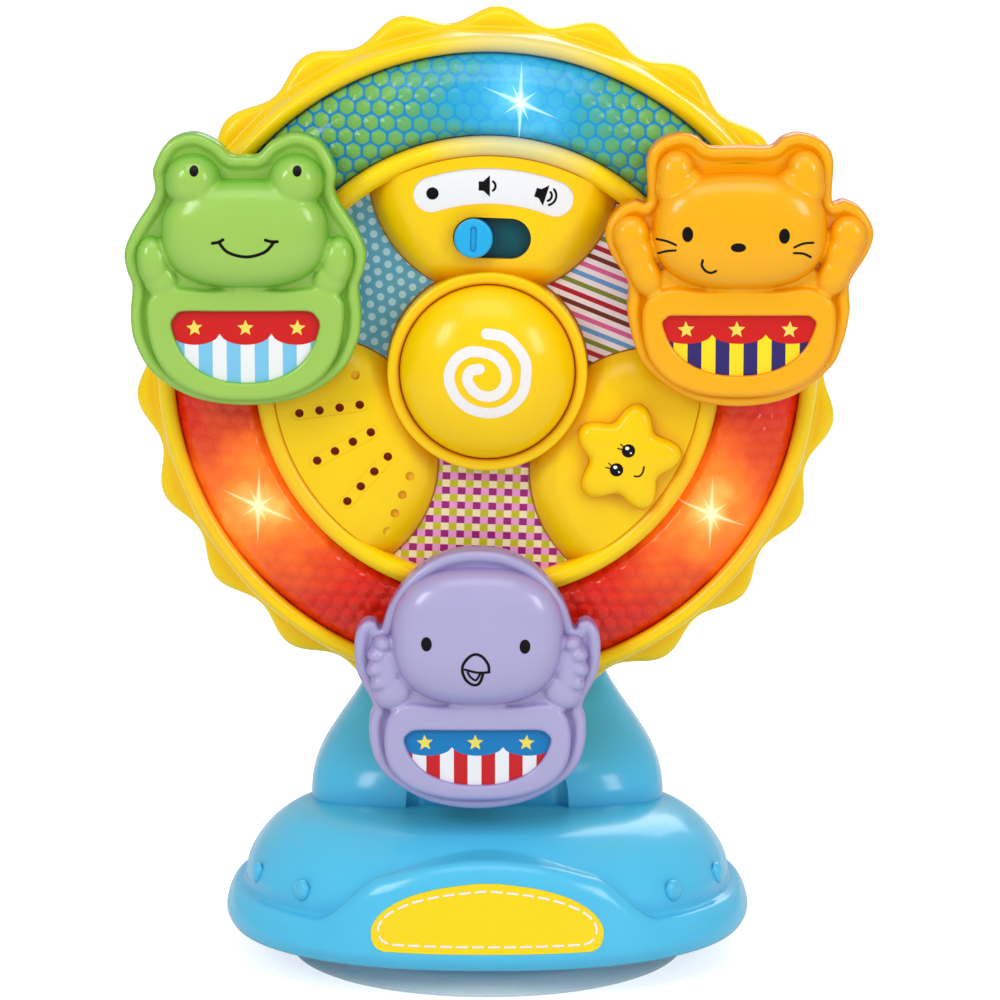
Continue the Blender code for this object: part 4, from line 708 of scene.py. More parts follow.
printed("canopy_red", rgb(212, 20, 20))
printed("canopy_blue", rgb(0, 124, 192))
clear_rubber("clear_rubber")
plain("steel", rgb(198, 200, 204), 0.28, metallic=1.0, grain=2.0, depth=0.01)
plain("battery_can", rgb(176, 180, 188), 0.32, metallic=1.0, grain=0.8, depth=0.01)
plain("white_plastic", rgb(236, 236, 230), 0.38)
plain("board_green", rgb(30, 104, 54), 0.45, grain=0.6)
plain("dark_cone", rgb(26, 24, 24), 0.7, grain=2.5)
plain("speaker_cloth", rgb(176, 70, 40), 0.8, grain=4.0)
lined("print_stripes")
dotted("print_dots")
gingham("print_gingham")

# The CAD nodes that no piece replaces are seen too, so every node gets its slot's finish.
slot_finishes = {**finishes, "paper": finishes["white_film"], "lens_red": finishes["lens_red_left"]}
for row in frame["record"]["subparts"]:
    for material_slot in frame["nodes"][row["node"]].material_slots:
        material_slot.material = slot_finishes[row["material_slot"]]


# Wheel front

def front_shell():
    """Scalloped rim with a rounded ridge, the inner bead ring, and the bridges with their posts."""
    scallops = 22
    steps = scallops * 16
    loops = []
    for i in range(steps):
        bearing = tau * i / steps + pi / 2
        wave = cos(scallops * (bearing - pi / 2))
        reach = 2.9 + 2.1 * wave
        edge = [
            (0.35, 5.5 + 0.25 * wave), (0.72, 4.9 + 0.25 * wave), (0.95, 3.6), (1, 2.2), (0.98, 0.7), (0.9, 0),
        ]
        section = smooth_line([
            (82.2, 13.4), (82.2, 15.3), (82.9, 16.3), (84.4, 16.8), (85.8, 16.1), (86.7, 13.8), (87.2, 10.2),
            (87.5, 7.4), (88.1, 5.9), *[(rim_radius + reach * out, level) for out, level in edge],
        ], 3)
        section += [(85.1, 0), (85.1, 13.4)]
        loops.append([(*polar(r, bearing), level) for r, level in section])
    bead = smooth_line([
        (60.9, 17.6), (60.85, 20.6), (60.2, 22.9), (58.7, 24.2), (57.1, 24.0), (56.0, 23.1), (55.4, 21.9),
    ], 4)
    bead += [(55.4, 13.0), (58.8, 13.0), (58.8, 16.5), (60.9, 17.0)]
    parts = [tidy(loft(loops, ring=True)), lathe(bead, 200)]
    for bearing in shell_pivots:
        bridge = block((58.3, 86.5), (-7.5, 7.5), (13.0, 19.0), top=0.8)
        parts.append(moved(bridge, turn=bearing))
        parts.append(rod(7.0, 13.3, 25.4, 64, *polar(pivot_radius, bearing), top=0.8))
    piece("rim", merged(*parts), on_wheel, "rim_yellow", "wheel_front_shell")


def light_band(name, bearing):
    """A third of the light ring, cut short beside the bridges."""
    crown = smooth_line([(81.9, 13.1), (81.5, 14.9), (78.6, 17.9), (72.4, 20.7), (64.1, 21.4), (61.2, 19.7)], 6)
    section = [
        (84.8, 13.1), *crown, (61.2, 16.2), (59.4, 16.2), (59.4, 14.4), (63.0, 14.4), (64.1, 18.6), (72.4, 18.4),
        (79.0, 14.6), (80.1, 11.3), (84.8, 11.3),
    ]
    loops = []
    for share in arc(-1, 1, 72):
        angles = [bearing + share * (pi / 3 - asin(7.8 / r)) for r, _ in section]
        loops.append([(*polar(r, angle), level) for angle, (r, level) in zip(angles, section)])
    piece(name + "_band", tidy(loft(loops)), on_wheel, name, name)


def star_outline(extra, steps=160):
    tip = petal_angles[2] + pi
    angles = [tau * i / steps for i in range(steps)]
    return [polar(12.1 + 2.3 * cos(5 * (angle - tip)) + extra, angle) for angle in angles]


def label_outline(extra, steps=32):
    half = label_half + extra
    low, high = pi / 2 - radians(19.5), pi / 2 + radians(19.5)
    outer = [polar(label_radius + half, a) for a in arc(low, high, steps)]
    inner = [polar(label_radius - half, a) for a in arc(high, low, steps)]
    ends = []
    for middle, turn in ((high, high), (low, low + pi)):
        x, y = polar(label_radius, middle)
        ends.append([(x + half * cos(turn + a), y + half * sin(turn + a)) for a in arc(0, pi, 16)[1:-1]])
    return outer + ends[0] + inner + ends[1]


def grille_holes():
    """Five fanned rows of four holes, each row in a shallow recess. The outer rows are blind."""
    spacing = 5.3
    holes = []
    for side in range(-2, 3):
        heading = petal_angles[1] + side * radians(20)
        x, y = polar(34.4, petal_angles[1] + side * radians(13))
        low = 22.1 if abs(side) > 1 else 19.0
        for i in range(4):
            dx, dy = polar(spacing * i, heading)
            holes.append(rod(1.15, low, hub_level, 20, x + dx, y + dy))
        dx, dy = polar(spacing * 1.5, heading)
        recess = slab(stadium(20.2, 3.5, 12), 23.48, hub_level)
        holes.append(moved(recess, x + dx, y + dy, turn=heading))
    return holes


def centre_panel():
    """Web, three hollow petals and the hub ring, with the switch slot, grille and star opening cut through."""
    body = rod(55.9, 14.0, panel_level, 180)
    edge = smooth_line([(20, petal_level), (22.4, 23.35), (25.9, 22.7), (29.8, 20.5), (32.5, 17.2)], 5)
    petals, hollows = [], []
    for bearing in petal_angles:
        spot = polar(petal_distance, bearing)
        petals.append(moved(lathe([(0, petal_level), *edge, (32.5, 14.3), (0, 14.3)], 120), *spot))
        hollows.append(rod(27.0, 0, 21.3, 96, *spot))
    petals = boolean(petals[0], petals[1:], "UNION")
    petals = boolean(petals, [rod(55.9, 0, 28, 180)], "INTERSECT")
    hollows.append(slab([(x, y + switch_height) for x, y in stadium(40.2, 13.2, 16)], 0, 21.15))
    keep = lathe([(26.3, -2), (54.5, -2), (54.5, 26), (26.3, 26)], 180)
    hollow = boolean(boolean(hollows[0], hollows[1:], "UNION"), [keep], "INTERSECT")
    ring = [(hub_inner, 14.15), (hub_inner, hub_level), (hub_outer, hub_level), (hub_outer, 14.15)]
    body = boolean(body, [petals], "UNION")
    body = boolean(body, [rod(24.45, panel_level, 28, 180)])
    body = boolean(body, [lathe(soften(ring, 1.2, 6), 180)], "UNION")
    x, y = polar(star_distance, petal_angles[2])
    tools = [
        hollow, rod(6.3, 0, 18, 48),
        slab([(px + x, py + y) for px, py in star_outline(0.06)], 17.3, 26),
        slab([(px, py + switch_height) for px, py in stadium(20.2, 10.6, 24)], 19.3, 26),
        slab(label_outline(-0.05), 22.5, 26), *grille_holes(),
    ]
    piece("panel", boolean(body, tools), on_wheel, "panel_yellow", "centre_panel", sharp=30)


def print_sheet(name, bearing):
    """A printed sheet in the wedge between two petals."""
    low, high = hub_outer + 0.5, panel_radius - 0.2
    radii = arc(low, high, 40)
    shares = [(r ** 2 + petal_distance ** 2 - 32.9 ** 2) / (2 * r * petal_distance) for r in radii]
    spread = [pi / 3 - acos(share) for share in shares]
    right = [polar(r, bearing - s) for r, s in zip(radii, spread)]
    left = [polar(r, bearing + s) for r, s in zip(reversed(radii), reversed(spread))]
    top = [polar(high, a) for a in arc(bearing - spread[-1], bearing + spread[-1], 24)[1:-1]]
    foot = [polar(low, a) for a in arc(bearing + spread[0], bearing - spread[0], 12)[1:-1]]
    sheet = slab(right + top + left + foot, 16.7, 17.1)
    piece(name + "_sheet", sheet, on_wheel, name, name)


def star_button():
    """The star with its small printed face."""
    section = smooth_line([
        (1.0, 21.2), (1.0, 24.0), (0.985, 25.3), (0.93, 26.7), (0.82, 27.5), (0.62, 27.9), (0.36, 28.0), (0.02, 28.0),
    ], 3)
    outline = star_outline(0)
    loops = [[(x, y, 19.4) for x, y in outline]]
    loops += [[(x * scale, y * scale, level) for x, y in outline] for scale, level in section]
    carrier = shifted(on_wheel, *polar(star_distance, petal_angles[2]), body="star_button")
    star = piece("star", tidy(loft(loops)), carrier, "panel_yellow", "star_button")
    eyes = [(0.3, 2.4), (-2.6, -2.7)]
    up = (-0.87, 0.5)
    marks = [disc(eye, 1.75, 1.75) for eye in eyes]
    glints = []
    for x, y in eyes:
        for side in (-0.35, 0.15):
            way = (up[0] + side * up[1], up[1] - side * up[0])
            lash = [(x + way[0] * reach, y + way[1] * reach) for reach in (1.5, 2.7)]
            marks.append(stroke(lash, 0.3))
        glints += [disc((x - 0.35, y + 0.65), 0.55, 0.45), disc((x + 0.65, y - 0.55), 0.25, 0.25)]
    marks.append(stroke([(2.1, -4.2), (3.3, -4.2), (4.2, -3.2), (4.5, -1.7)], 0.45))
    piece("star_face", laid_on(star, merged(*marks)), carrier, "black_ink")
    piece("star_glints", laid_on(star, merged(*glints), 0.1), carrier, "white_ink")


def dome_button():
    """The domed button with its printed spiral."""
    radius, crown = 22.84, 36.0
    carrier = (wheel_frame, "dome_button")
    outside = [(radius * cos(a), 23.9 + 12.1 * sin(a)) for a in arc(0, pi / 2, 28)]
    outside[-1] = (0, crown)
    shape = lathe([(0, 19.7), (radius, 19.7), *outside], 144)
    dome = piece("dome", shape, carrier, "panel_yellow", "dome_button")
    line = [
        (-0.6, 11.2), (3.9, 10.6), (7.3, 7.9), (9.6, 4.3), (9.9, 0.4), (9.2, -3.8), (6.4, -7.2), (2.9, -9.0),
        (-0.6, -9.2), (-4.4, -8.2), (-7.7, -5.6), (-9.6, -2.0), (-9.7, 1.2), (-8.1, 4.4), (-5.3, 6.3),
        (-2.4, 6.6), (1.0, 5.9), (3.7, 3.8), (4.9, 0.9), (4.7, -1.6), (3.1, -3.9), (0.5, -4.9),
        (-2.4, -4.2), (-4.6, -2.0), (-5.1, 0.0), (-4.2, 1.7), (-2.1, 2.2),
    ]
    piece("dome_spiral", laid_on(dome, stroke(line, 2.8, 6)), carrier, "white_ink")


def volume_switch():
    """The knob with its slide plate, and the printed label with three loudness icons."""
    carrier = shifted(on_wheel, -4.8, switch_height, body="volume_knob")
    circle = [polar(5.0, a) for a in arc(0, tau, 72)[1:]]
    groove = slab([(y, x) for x, y in reversed(stadium(6.6, 1.7, 12))], 26.5, 29)
    knob = boolean(slab(circle, 20.5, 27.0, top=0.7, steps=5), [groove])
    piece("knob", knob, carrier, "knob_blue", "volume_knob")
    # The slide plate's dark teal is painted shade under the slot; its plastic is the knob's blue.
    piece("knob_slide", slab(stadium(30.0, 12.6, 24), 18.85, 20.85), carrier, "slot_teal")
    label_shape = slab(label_outline(0), 22.8, 23.3, top=0.15)
    label = piece("switch_label_film", label_shape, on_wheel, "white_film", "switch_label")
    marks = [disc(polar(48.4, radians(109)), 1.6, 1.6)]
    horn = [(-2.4, -1.2), (-1.2, -1.2), (0.5, -2.8), (0.5, 2.8), (-1.2, 1.2), (-2.4, 1.2)]
    for bearing, waves in ((91.8, 1), (74.2, 2)):
        cone = bmesh.new()
        cone.faces.new([cone.verts.new((px, py, 0)) for px, py in horn])
        parts = [cone]
        for i in range(waves):
            r = 1.4 + 1.15 * i
            parts.append(stroke([(0.55 + r * cos(a), r * sin(a)) for a in arc(-1.0, 1.0, 6)], 0.6, 3))
        spot = polar(label_radius, radians(bearing))
        marks.append(moved(merged(*parts), *spot, turn=radians(bearing - 90)))
    icons = merged(*marks)
    bmesh.ops.triangulate(icons, faces=[face for face in icons.faces if len(face.verts) > 4])
    piece("switch_icons", laid_on(label, icons), on_wheel, "black_ink")


front_shell()
for name, bearing in (("lens_blue", 90), ("lens_red_left", 210), ("lens_red_right", 330)):
    light_band(name, radians(bearing))
centre_panel()
# A brown cloth shows at the bottom of the grille's holes.
cloth = rod(16.5, 21.02, 21.25, 72, *polar(42.5, petal_angles[1]))
piece("speaker_cloth", cloth, on_wheel, "speaker_cloth")
for name, bearing in (("print_stripes", 30), ("print_dots", 150), ("print_gingham", 270)):
    print_sheet(name, radians(bearing))
star_button()
dome_button()
volume_switch()


# Wheel back

def screw_head(name, carrier, node):
    """A pan head screw with a cross recess, shank towards local +Z."""
    head = soften([(0.01, -1.8), (2.5, -1.8), (2.9, -0.6), (2.9, 0.0), (1.4, 0.0), (1.4, 6.0), (0.01, 6.0)], 0.5)
    screw = lathe([(0, -1.8), *head[1:-1], (0, 6.0)], 40)
    long, short, deep = (-1.7, 1.7), (-0.35, 0.35), (-2.5, -1.0)
    screw = boolean(screw, [block(long, short, deep), block(short, long, deep)])
    piece(name, screw, carrier, "steel", node)


def back_shell():
    """The rear dish with its axle boss, screw wells and battery door."""
    dish = lathe([
        (0, -12.5), *soften([(70, -12.5), (84.8, -12.5), (84.8, 11.0)], 7.0, 10), (84.8, 11.0), (82.4, 11.0),
        *soften([(82.4, 11.0), (82.4, -10.1), (70, -10.1)], 5.0, 8), (0, -10.1),
    ], 200)
    boss = lathe(soften([(4.3, -15.5), (11.0, -15.5), (11.0, -6.5), (4.3, -6.5)], 0.8) + [(4.3, -6.5)], 72)
    groove = lathe([(76.0, -13.5), (77.2, -13.5), (77.2, -12.1), (76.0, -12.1)], 200)
    screw_spots = [polar(screw_radius, bearing) for bearing in shell_pivots]

    def wells():
        return [rod(3.2, -14.5, 10.6, 32, *spot) for spot in screw_spots]

    doorway = block((-27.5, 35.4), (-59.3, -24.7), (-14.5, -10.6))
    body = boolean(dish, [groove, rod(8.0, -20, 0, 48), *wells(), doorway])
    floor = block((-28.4, 36.3), (-60.2, -23.8), (-10.7, -9.4))
    tubes = [boolean(rod(4.6, -11.3, 12.7, 40, *spot), [well]) for spot, well in zip(screw_spots, wells())]
    shell = merged(body, boss, floor, *tubes)
    piece("rear_shell", shell, on_wheel, "rim_yellow", "wheel_rear_shell")
    outline = [(-27.2, -59.0), (35.1, -59.0), (35.1, -25.0), (-27.2, -25.0)]
    door = slab(smooth_corners(outline, 1.6), -12.5, -10.9, foot=0.35)
    ridges = [block((-24.5 + 1.9 * i, -23.5 + 1.9 * i), (-49, -35), (-13, -12.1)) for i in range(5)]
    x, y = 28.7, -42.0
    door = boolean(door, [*ridges, rod(1.7, -14, -8, 24, x, y), rod(3.4, -14, -12.1, 40, x, y)])
    piece("battery_hatch", door, on_wheel, "rim_yellow", "battery_door")
    screw_head("hatch_screw", shifted(on_wheel, x, y, -12.4), "door_screw")
    for i, spot in enumerate(screw_spots):
        screw_head(f"shell_screw_{i + 1}", shifted(on_wheel, *spot, 10.3), f"wheel_screw_{i + 1}")


def smooth_corners(outline, radius, steps=6):
    """A closed outline with its corners rounded."""
    closed = outline[-1:] + outline + outline[:1]
    return soften(closed, radius, steps)[1:-1]


# Stand

def sign_height(x, y):
    """Top of the skirt: an arch over the sign that falls to the ledge on both sides."""
    if y > 0:
        return ledge_level
    half_sign, fall = 30.0, 18.0
    arch = arch_level - 4.8 * min(1, (x / half_sign) ** 2)
    blend = min(1, max(0, (abs(x) - half_sign) / fall))
    return arch + (ledge_level - arch) * blend * blend * (3 - 2 * blend)


def sign_surface(x, level, inset):
    """The y of the skirt's leaning front, or of a layer set into it."""
    lean = base_lean * (level - 11.8)
    depth, width = base_half_y - lean - inset, base_half_x - lean - inset
    return -depth * (1 - (abs(x) / width) ** base_power) ** (1 / base_power)


def sign_outline(grow, per_span=6):
    """Half widths of the sign label by height, from its bottom to its top."""
    shares = smooth_line([
        (0.0, 0.9), (0.08, 0.975), (0.29, 1.0), (0.5, 0.935), (0.66, 0.82), (0.8, 0.66), (0.92, 0.42), (1.0, 0.1),
    ], per_span)
    return [(13.4 - grow + (17.6 + 2 * grow) * up, 30.1 * wide + grow) for up, wide in shares]


def sign_sheet(grow, near, far, columns=48):
    """A layer that follows the skirt's front, between two depths under it."""
    loops = []
    for level, half in sign_outline(grow):
        xs = arc(-half, half, columns)
        front = [(x, sign_surface(x, level, near), level) for x in xs]
        back = [(x, sign_surface(x, level, far), level) for x in reversed(xs)]
        loops.append(front + back)
    return tidy(loft(loops))


dome_shares = smooth_line([
    (0, 1, 1), (0.26, 0.997, 0.99), (0.52, 0.95, 0.925), (0.74, 0.88, 0.82),
    (0.92, 0.78, 0.64), (1, 0.6, 0.4),
], 6)


def dome_point(level, angle):
    """Where the dome's side is at a level, seen from the axis at an angle from the front."""
    share = (level - dome_foot) / dome_rise
    for (h0, w0, d0), (h1, w1, d1) in zip(dome_shares, dome_shares[1:]):
        if h0 <= share <= h1:
            t = (share - h0) / (h1 - h0)
            half_x, half_y = dome_half_x * (w0 + (w1 - w0) * t), dome_half_y * (d0 + (d1 - d0) * t)
    c, s = sin(angle), -cos(angle)
    reach = ((abs(c) / half_x) ** base_power + (abs(s) / half_y) ** base_power) ** (-1 / base_power)
    return reach * c, reach * s


def base():
    """The skirt with its arch behind the sign, the dome and its rivets."""
    loops = []
    for x, y in superellipse(base_half_x, base_half_y, base_power, 240):
        top = sign_height(x, y)
        lean = base_lean * (top - 15.2)
        ledge = 9.0 + 13.0 * ((top - ledge_level) / (arch_level - ledge_level))
        section = soften([
            (4.2, 8.3), (1.8, 8.3), (0, 11.8), (lean, top - 3.4), (lean + 1.6, top - 0.6), (lean + 3.4, top),
            (ledge, top), (ledge, top - 2.4),
        ], 1.6, 4)
        section += [(lean + 4.4, top - 2.4), (3.6, 11.8)]
        loops.append([
            (x * (1 - inset / base_half_x), y * (1 - inset / base_half_y), level) for inset, level in section
        ])
    skirt = tidy(loft(loops, ring=True))
    dome_loops = []
    for h, wide, deep in dome_shares:
        outline = superellipse(dome_half_x * wide, dome_half_y * deep, base_power, 200)
        dome_loops.append([(x, y, dome_foot + dome_rise * h) for x, y in outline])
    rivets = []
    for i in (0, 1, 3, 4, 5, 6, 7, 8, 9, 10, 12, 13):
        angle = radians(52) + i * radians(19.7)
        bump = cushion(2.9, 2.9, 1.3, 0, 0.8, segments=36, rings=10)
        place = Matrix.Translation((*dome_point(24.5, angle), 24.5)) @ Matrix.Rotation(angle, 4, "Z")
        bump.transform(place @ face_on)
        rivets.append(bump)
    cover = moulded(merged(skirt, tidy(loft(dome_loops))), 0.62, 5, 0.5)
    cover = merged(boolean(cover, [sign_sheet(0.05, -2, 0.7)]), *rivets)
    piece("base_cover", cover, on_stand, "base_blue", "base_shell")


def stitches():
    """White dashes sewn round the sign, just inside its edge."""
    outline = sign_outline(-1.9)
    ring = [(half, level) for level, half in outline]
    ring += [(-half, level) for level, half in reversed(outline)]
    closed = ring + ring[:1]
    lengths = [0.0]
    for (x0, z0), (x1, z1) in zip(closed, closed[1:]):
        lengths.append(lengths[-1] + hypot(x1 - x0, z1 - z0))

    def along(distance):
        distance %= lengths[-1]
        for i in range(len(closed) - 1):
            if lengths[i + 1] >= distance:
                t = (distance - lengths[i]) / max(lengths[i + 1] - lengths[i], 1e-6)
                return tuple(closed[i][k] + (closed[i + 1][k] - closed[i][k]) * t for k in range(2))

    count = round(lengths[-1] / 4.1)
    starts = [lengths[-1] * i / count for i in range(count)]
    sewn = merged(*[stroke([along(start + 2.6 * t) for t in (0, 0.33, 0.67, 1)], 0.55, 2) for start in starts])
    for vertex in sewn.verts:
        x, level = vertex.co.x, vertex.co.y
        vertex.co = (x, sign_surface(x, level, -0.06), level)
    piece("sign_stitches", sewn, on_stand, "white_ink")


def foot():
    """The suction cup and the screws under the base."""
    cup = smooth_line([(53, 0.8), (50.5, 2.6), (45.2, 5.4), (30, 6.9), (8.2, 7.5), (7.0, 7.9)], 5)
    cup = lathe([
        (0, 4.6), (20, 4.3), (40, 2.0), (46.5, 0.0), (53, 0.0), *cup, (7.0, 14.9), (9.0, 14.9), (9.0, 17.1), (0, 17.1),
    ], 160)
    piece("cup", cup, on_stand, "clear_rubber", "suction_cup")
    for i, spot in enumerate(((46, 24), (46, -24), (-46, 24), (-46, -24))):
        screw_head(f"foot_screw_{i + 1}", shifted(on_stand, *spot, 10.1), f"base_screw_{i + 1}")


def neck():
    """The hollow neck's outside with its front channel, seam and screw wells."""
    foot_level, half_top = 39.9, 20
    shares = [
        (0, 1, 1, 1), (0.045, 0.975, 0.963, 1), (0.092, 0.893, 0.852, 0.95),
        (0.142, 0.75, 0.593, 0.88), (0.195, 0.58, 0.28, 0.8), (0.26, 0.42, 0.03, 0.63),
        (0.42, 0.13, 0, 0.4), (0.7, 0, 0, 0.13), (1, 0, 0, 0),
    ]
    rows = [
        (foot_level + 120.1 * h, half_top + 28 * wide, 16 - 27 * front, 38 + 6 * back)
        for h, wide, front, back in shares
    ]
    rows.insert(0, (29.9, *rows[0][1:]))
    rows = smooth_line(rows, 5)
    rows += [
        (axle_height + half_top * sin(a), max(half_top * cos(a), 0.4), 16, 38) for a in arc(0, pi / 2, 14)[1:-1]
    ]
    loops = []
    for level, half, front, back in rows:
        outline = superellipse(half, (back - front) / 2, 3.2, 96)
        loops.append([(x, y + (front + back) / 2, level) for x, y in outline])
    right = [(22, -21)] + [(22 - inset, y) for inset, y in rounding(5, -6.5, 8)]
    channel = slab(right + [(-x, y) for x, y in reversed(right)], 18, axle_height)
    seam = block((-60, 60), (27.45, 27.75), (42, 200))
    from_behind = Matrix.Rotation(-pi / 2, 4, "X")
    hole = rod(8.3, -40, 2, 64)
    hole.transform(Matrix.Translation((0, 18.7, axle_height)) @ from_behind)
    tools = [channel, hole, seam]
    for x in (-9, 9):
        well = rod(3.2, 30.15, 60, 32)
        well.transform(Matrix.Translation((x, 0, 120)) @ from_behind)
        tools.append(well)
    body = boolean(tidy(loft(loops)), tools)
    piece("neck", body, on_stand, "base_blue", "neck_front", "neck_rear", sharp=40)
    for i, x in enumerate((-9, 9)):
        matrix, stand = shifted(on_stand, x, 30.45, 120)
        screw_head(f"back_screw_{i + 1}", (matrix @ face_on, stand), f"neck_screw_{i + 1}")


# Gondolas

def belly_outline(shares, reach, ripple, curve, grow=0):
    """The outline of a belly frame or its window, from shares of the gondola's size."""
    half, widest, top, corner, bottom = shares
    right = [(0, top), (corner / 2, top - ripple), (corner, top), (half * 0.95, top + (widest - top) * 0.32)]
    right += [(half, widest)] + [(half * wide, widest + (bottom - widest) * down) for wide, down in curve]
    right.append((0, bottom))
    return inset_loop(mirrored_loop(right, reach), -grow)


belly_curve = ((0.93, 0.45), (0.72, 0.78), (0.38, 0.96))
window_curve = ((0.87, 0.45), (0.65, 0.76), (0.34, 0.95))


def gondola(name, finish, reach, outline, head, lobes, belly, window, stripes, canopy, spread, marks):
    """An animal gondola: back cover, rimmed front with head, limbs and belly frame, window and face."""
    carrier = on_gondola[name]
    loop = mirrored_loop(outline, reach)
    cover = boolean(slab(loop, 25.9, 27.9, foot=0.5), [rod(2.5, 20, 30, 40)])
    piece(f"{name}_cover", cover, carrier, finish, f"{name}_back")
    levels = [(0, 28.2), *rounding(1.5, lip_level, 6)]
    levels += [(2.0, 34.35), (2.5, 34.15), (3.0, 33.75), (3.5, 33.35), (4.0, 33.15)]
    plate = tidy(loft([[(x, y, level) for x, y in clear_inset(loop, inset)] for inset, level in levels]))
    x, y, half_x, half_y = (share * reach for share in head)
    parts = [moved(cushion(half_x, half_y, 42.4, field_level, 1.8, 0.8, 0.72), x, y)]
    for lx, ly, lw, lh, turn, height in lobes:
        for side in (1, -1):
            bump = cushion(lw * reach, lh * reach, 34 + 8.4 * height, field_level, 1.8, 0.95, 0.85, 48, 14)
            parts.append(moved(bump, side * lx * reach, ly * reach, turn=side * radians(turn)))
    outer = belly_outline(belly, reach, 0.016, belly_curve)
    inner = belly_outline(window, reach, 0, window_curve)
    frame_levels = [(outer, 0, 31.4)] + [(outer, *step) for step in rounding(1.8, frame_level, 5)]
    frame_levels += [(inner, -inset, level) for inset, level in reversed(rounding(0.7, frame_level, 4))]
    frame_levels += [(inner, 0, 34.2), (inner, 0, 31.4)]
    loops = [[(px, py, level) for px, py in inset_loop(edge, inset)] for edge, inset, level in frame_levels]
    parts.append(tidy(loft(loops, ring=True)))
    body = merged(plate, moulded(merged(*parts), 0.4, 7, 0.5))
    front = piece(f"{name}_body", body, carrier, finish, f"{name}_front", sharp=60)
    awning(f"{name}_awning", *stripes)
    label_art(name, belly_outline(window, reach, 0, window_curve, 0.25), window, reach, canopy, spread)
    piece(f"{name}_face", laid_on(front, merged(*marks)), carrier, "black_ink")


def label_art(name, outline, window, reach, canopy, spread):
    """The printed window: upright stripes under a scalloped canopy with three stars."""
    carrier = on_gondola[name]
    piece(f"{name}_print", slab(outline, print_level - 0.5, print_level), carrier, f"{name}_awning", f"{name}_label")
    half, top, bottom = window[0] * reach, window[2] * reach, window[4] * reach
    tall = top - bottom
    cusps = (-1.02, -0.35, 0.35, 1.02)
    cusp_drop, belly_drop, star_drop = 0.315, 0.155, 0.235
    scallops = []
    for left, right in zip(cusps, cusps[1:]):
        for t in arc(0, 1, 14)[:-1]:
            drop = cusp_drop + belly_drop * (1 - (2 * t - 1) ** 2) ** 0.6
            scallops.append((half * (left + (right - left) * t), top - tall * drop))
    edge = half * cusps[-1]
    scallops += [(edge, top - tall * cusp_drop), (edge, top + 1), (-edge, top + 1)]
    curtain = boolean(slab(scallops, print_level - 0.1, print_level + 0.05), [slab(outline, 34, 37)], "INTERSECT")
    piece(f"{name}_canopy", curtain, carrier, canopy)
    stars = [
        moved(
            slab(star_points(half * 0.115), print_level, print_level + 0.12), half * place, top - tall * star_drop,
            turn=tilt,
        ) for place, tilt in zip(spread, (0.06, 0, -0.06))
    ]
    piece(f"{name}_stars", merged(*stars), carrier, "star_yellow")


frog_outline = [
    (0, 0.393), (0.072, 0.395), (0.15, 0.466), (0.281, 0.516), (0.42, 0.468), (0.503, 0.32),
    (0.5, 0.18), (0.618, -0.015), (0.668, -0.142), (0.655, -0.25), (0.628, -0.335), (0.64, -0.5),
    (0.618, -0.65), (0.518, -0.82), (0.3, -0.955), (0, -1),
]
cat_outline = [
    (0, 0.588), (0.18, 0.588), (0.262, 0.645), (0.365, 0.668), (0.492, 0.625), (0.562, 0.515),
    (0.56, 0.262), (0.64, 0.262), (0.745, 0.205), (0.812, 0.08), (0.785, -0.05), (0.68, -0.225),
    (0.672, -0.32), (0.676, -0.42), (0.64, -0.6), (0.56, -0.765), (0.32, -0.942), (0, -1),
]
bird_outline = [
    (0, 0.665), (0.22, 0.63), (0.412, 0.51), (0.545, 0.33), (0.608, 0.165), (0.645, 0.205),
    (0.705, 0.212), (0.762, 0.145), (0.775, 0.03), (0.755, -0.125), (0.662, -0.318), (0.682, -0.42),
    (0.682, -0.55), (0.64, -0.7), (0.535, -0.825), (0.3, -0.955), (0, -1),
]
white, sky = rgb(238, 240, 244), rgb(124, 198, 236)
gondola(
    "frog", "frog_green", 46.3, frog_outline, (0.0, -0.036, 0.464, 0.302),
    [(0.285, 0.25, 0.156, 0.156, 0, 0.82), (0.508, -0.2, 0.094, 0.15, -8, 0.48),
     (0.47, -0.29, 0.1, 0.12, -25, 0.4), (0.27, -0.29, 0.22, 0.09, 0, 0.13)],
    (0.551, -0.48, -0.331, 0.41, -0.97), (0.41, -0.551, -0.466, 0.345, -0.865),
    (white, sky, 0.5), "canopy_red", (-0.69, 0.0, 0.7), [
        disc((-12.4, 14.9), 1.15, 1.4), disc((13.8, 14.9), 1.15, 1.4),
        stroke([(-6.1, -3.1), (-3.9, -5.6), (0.8, -6.8), (5.4, -5.6), (7.8, -3.1)], 0.8),
        stroke([(-7.8, -3.3), (-6.2, -3.0), (-5.1, -2.4)], 0.8), stroke([(5.7, -2.5), (7.2, -2.9), (8.7, -2.9)], 0.8),
    ],
)
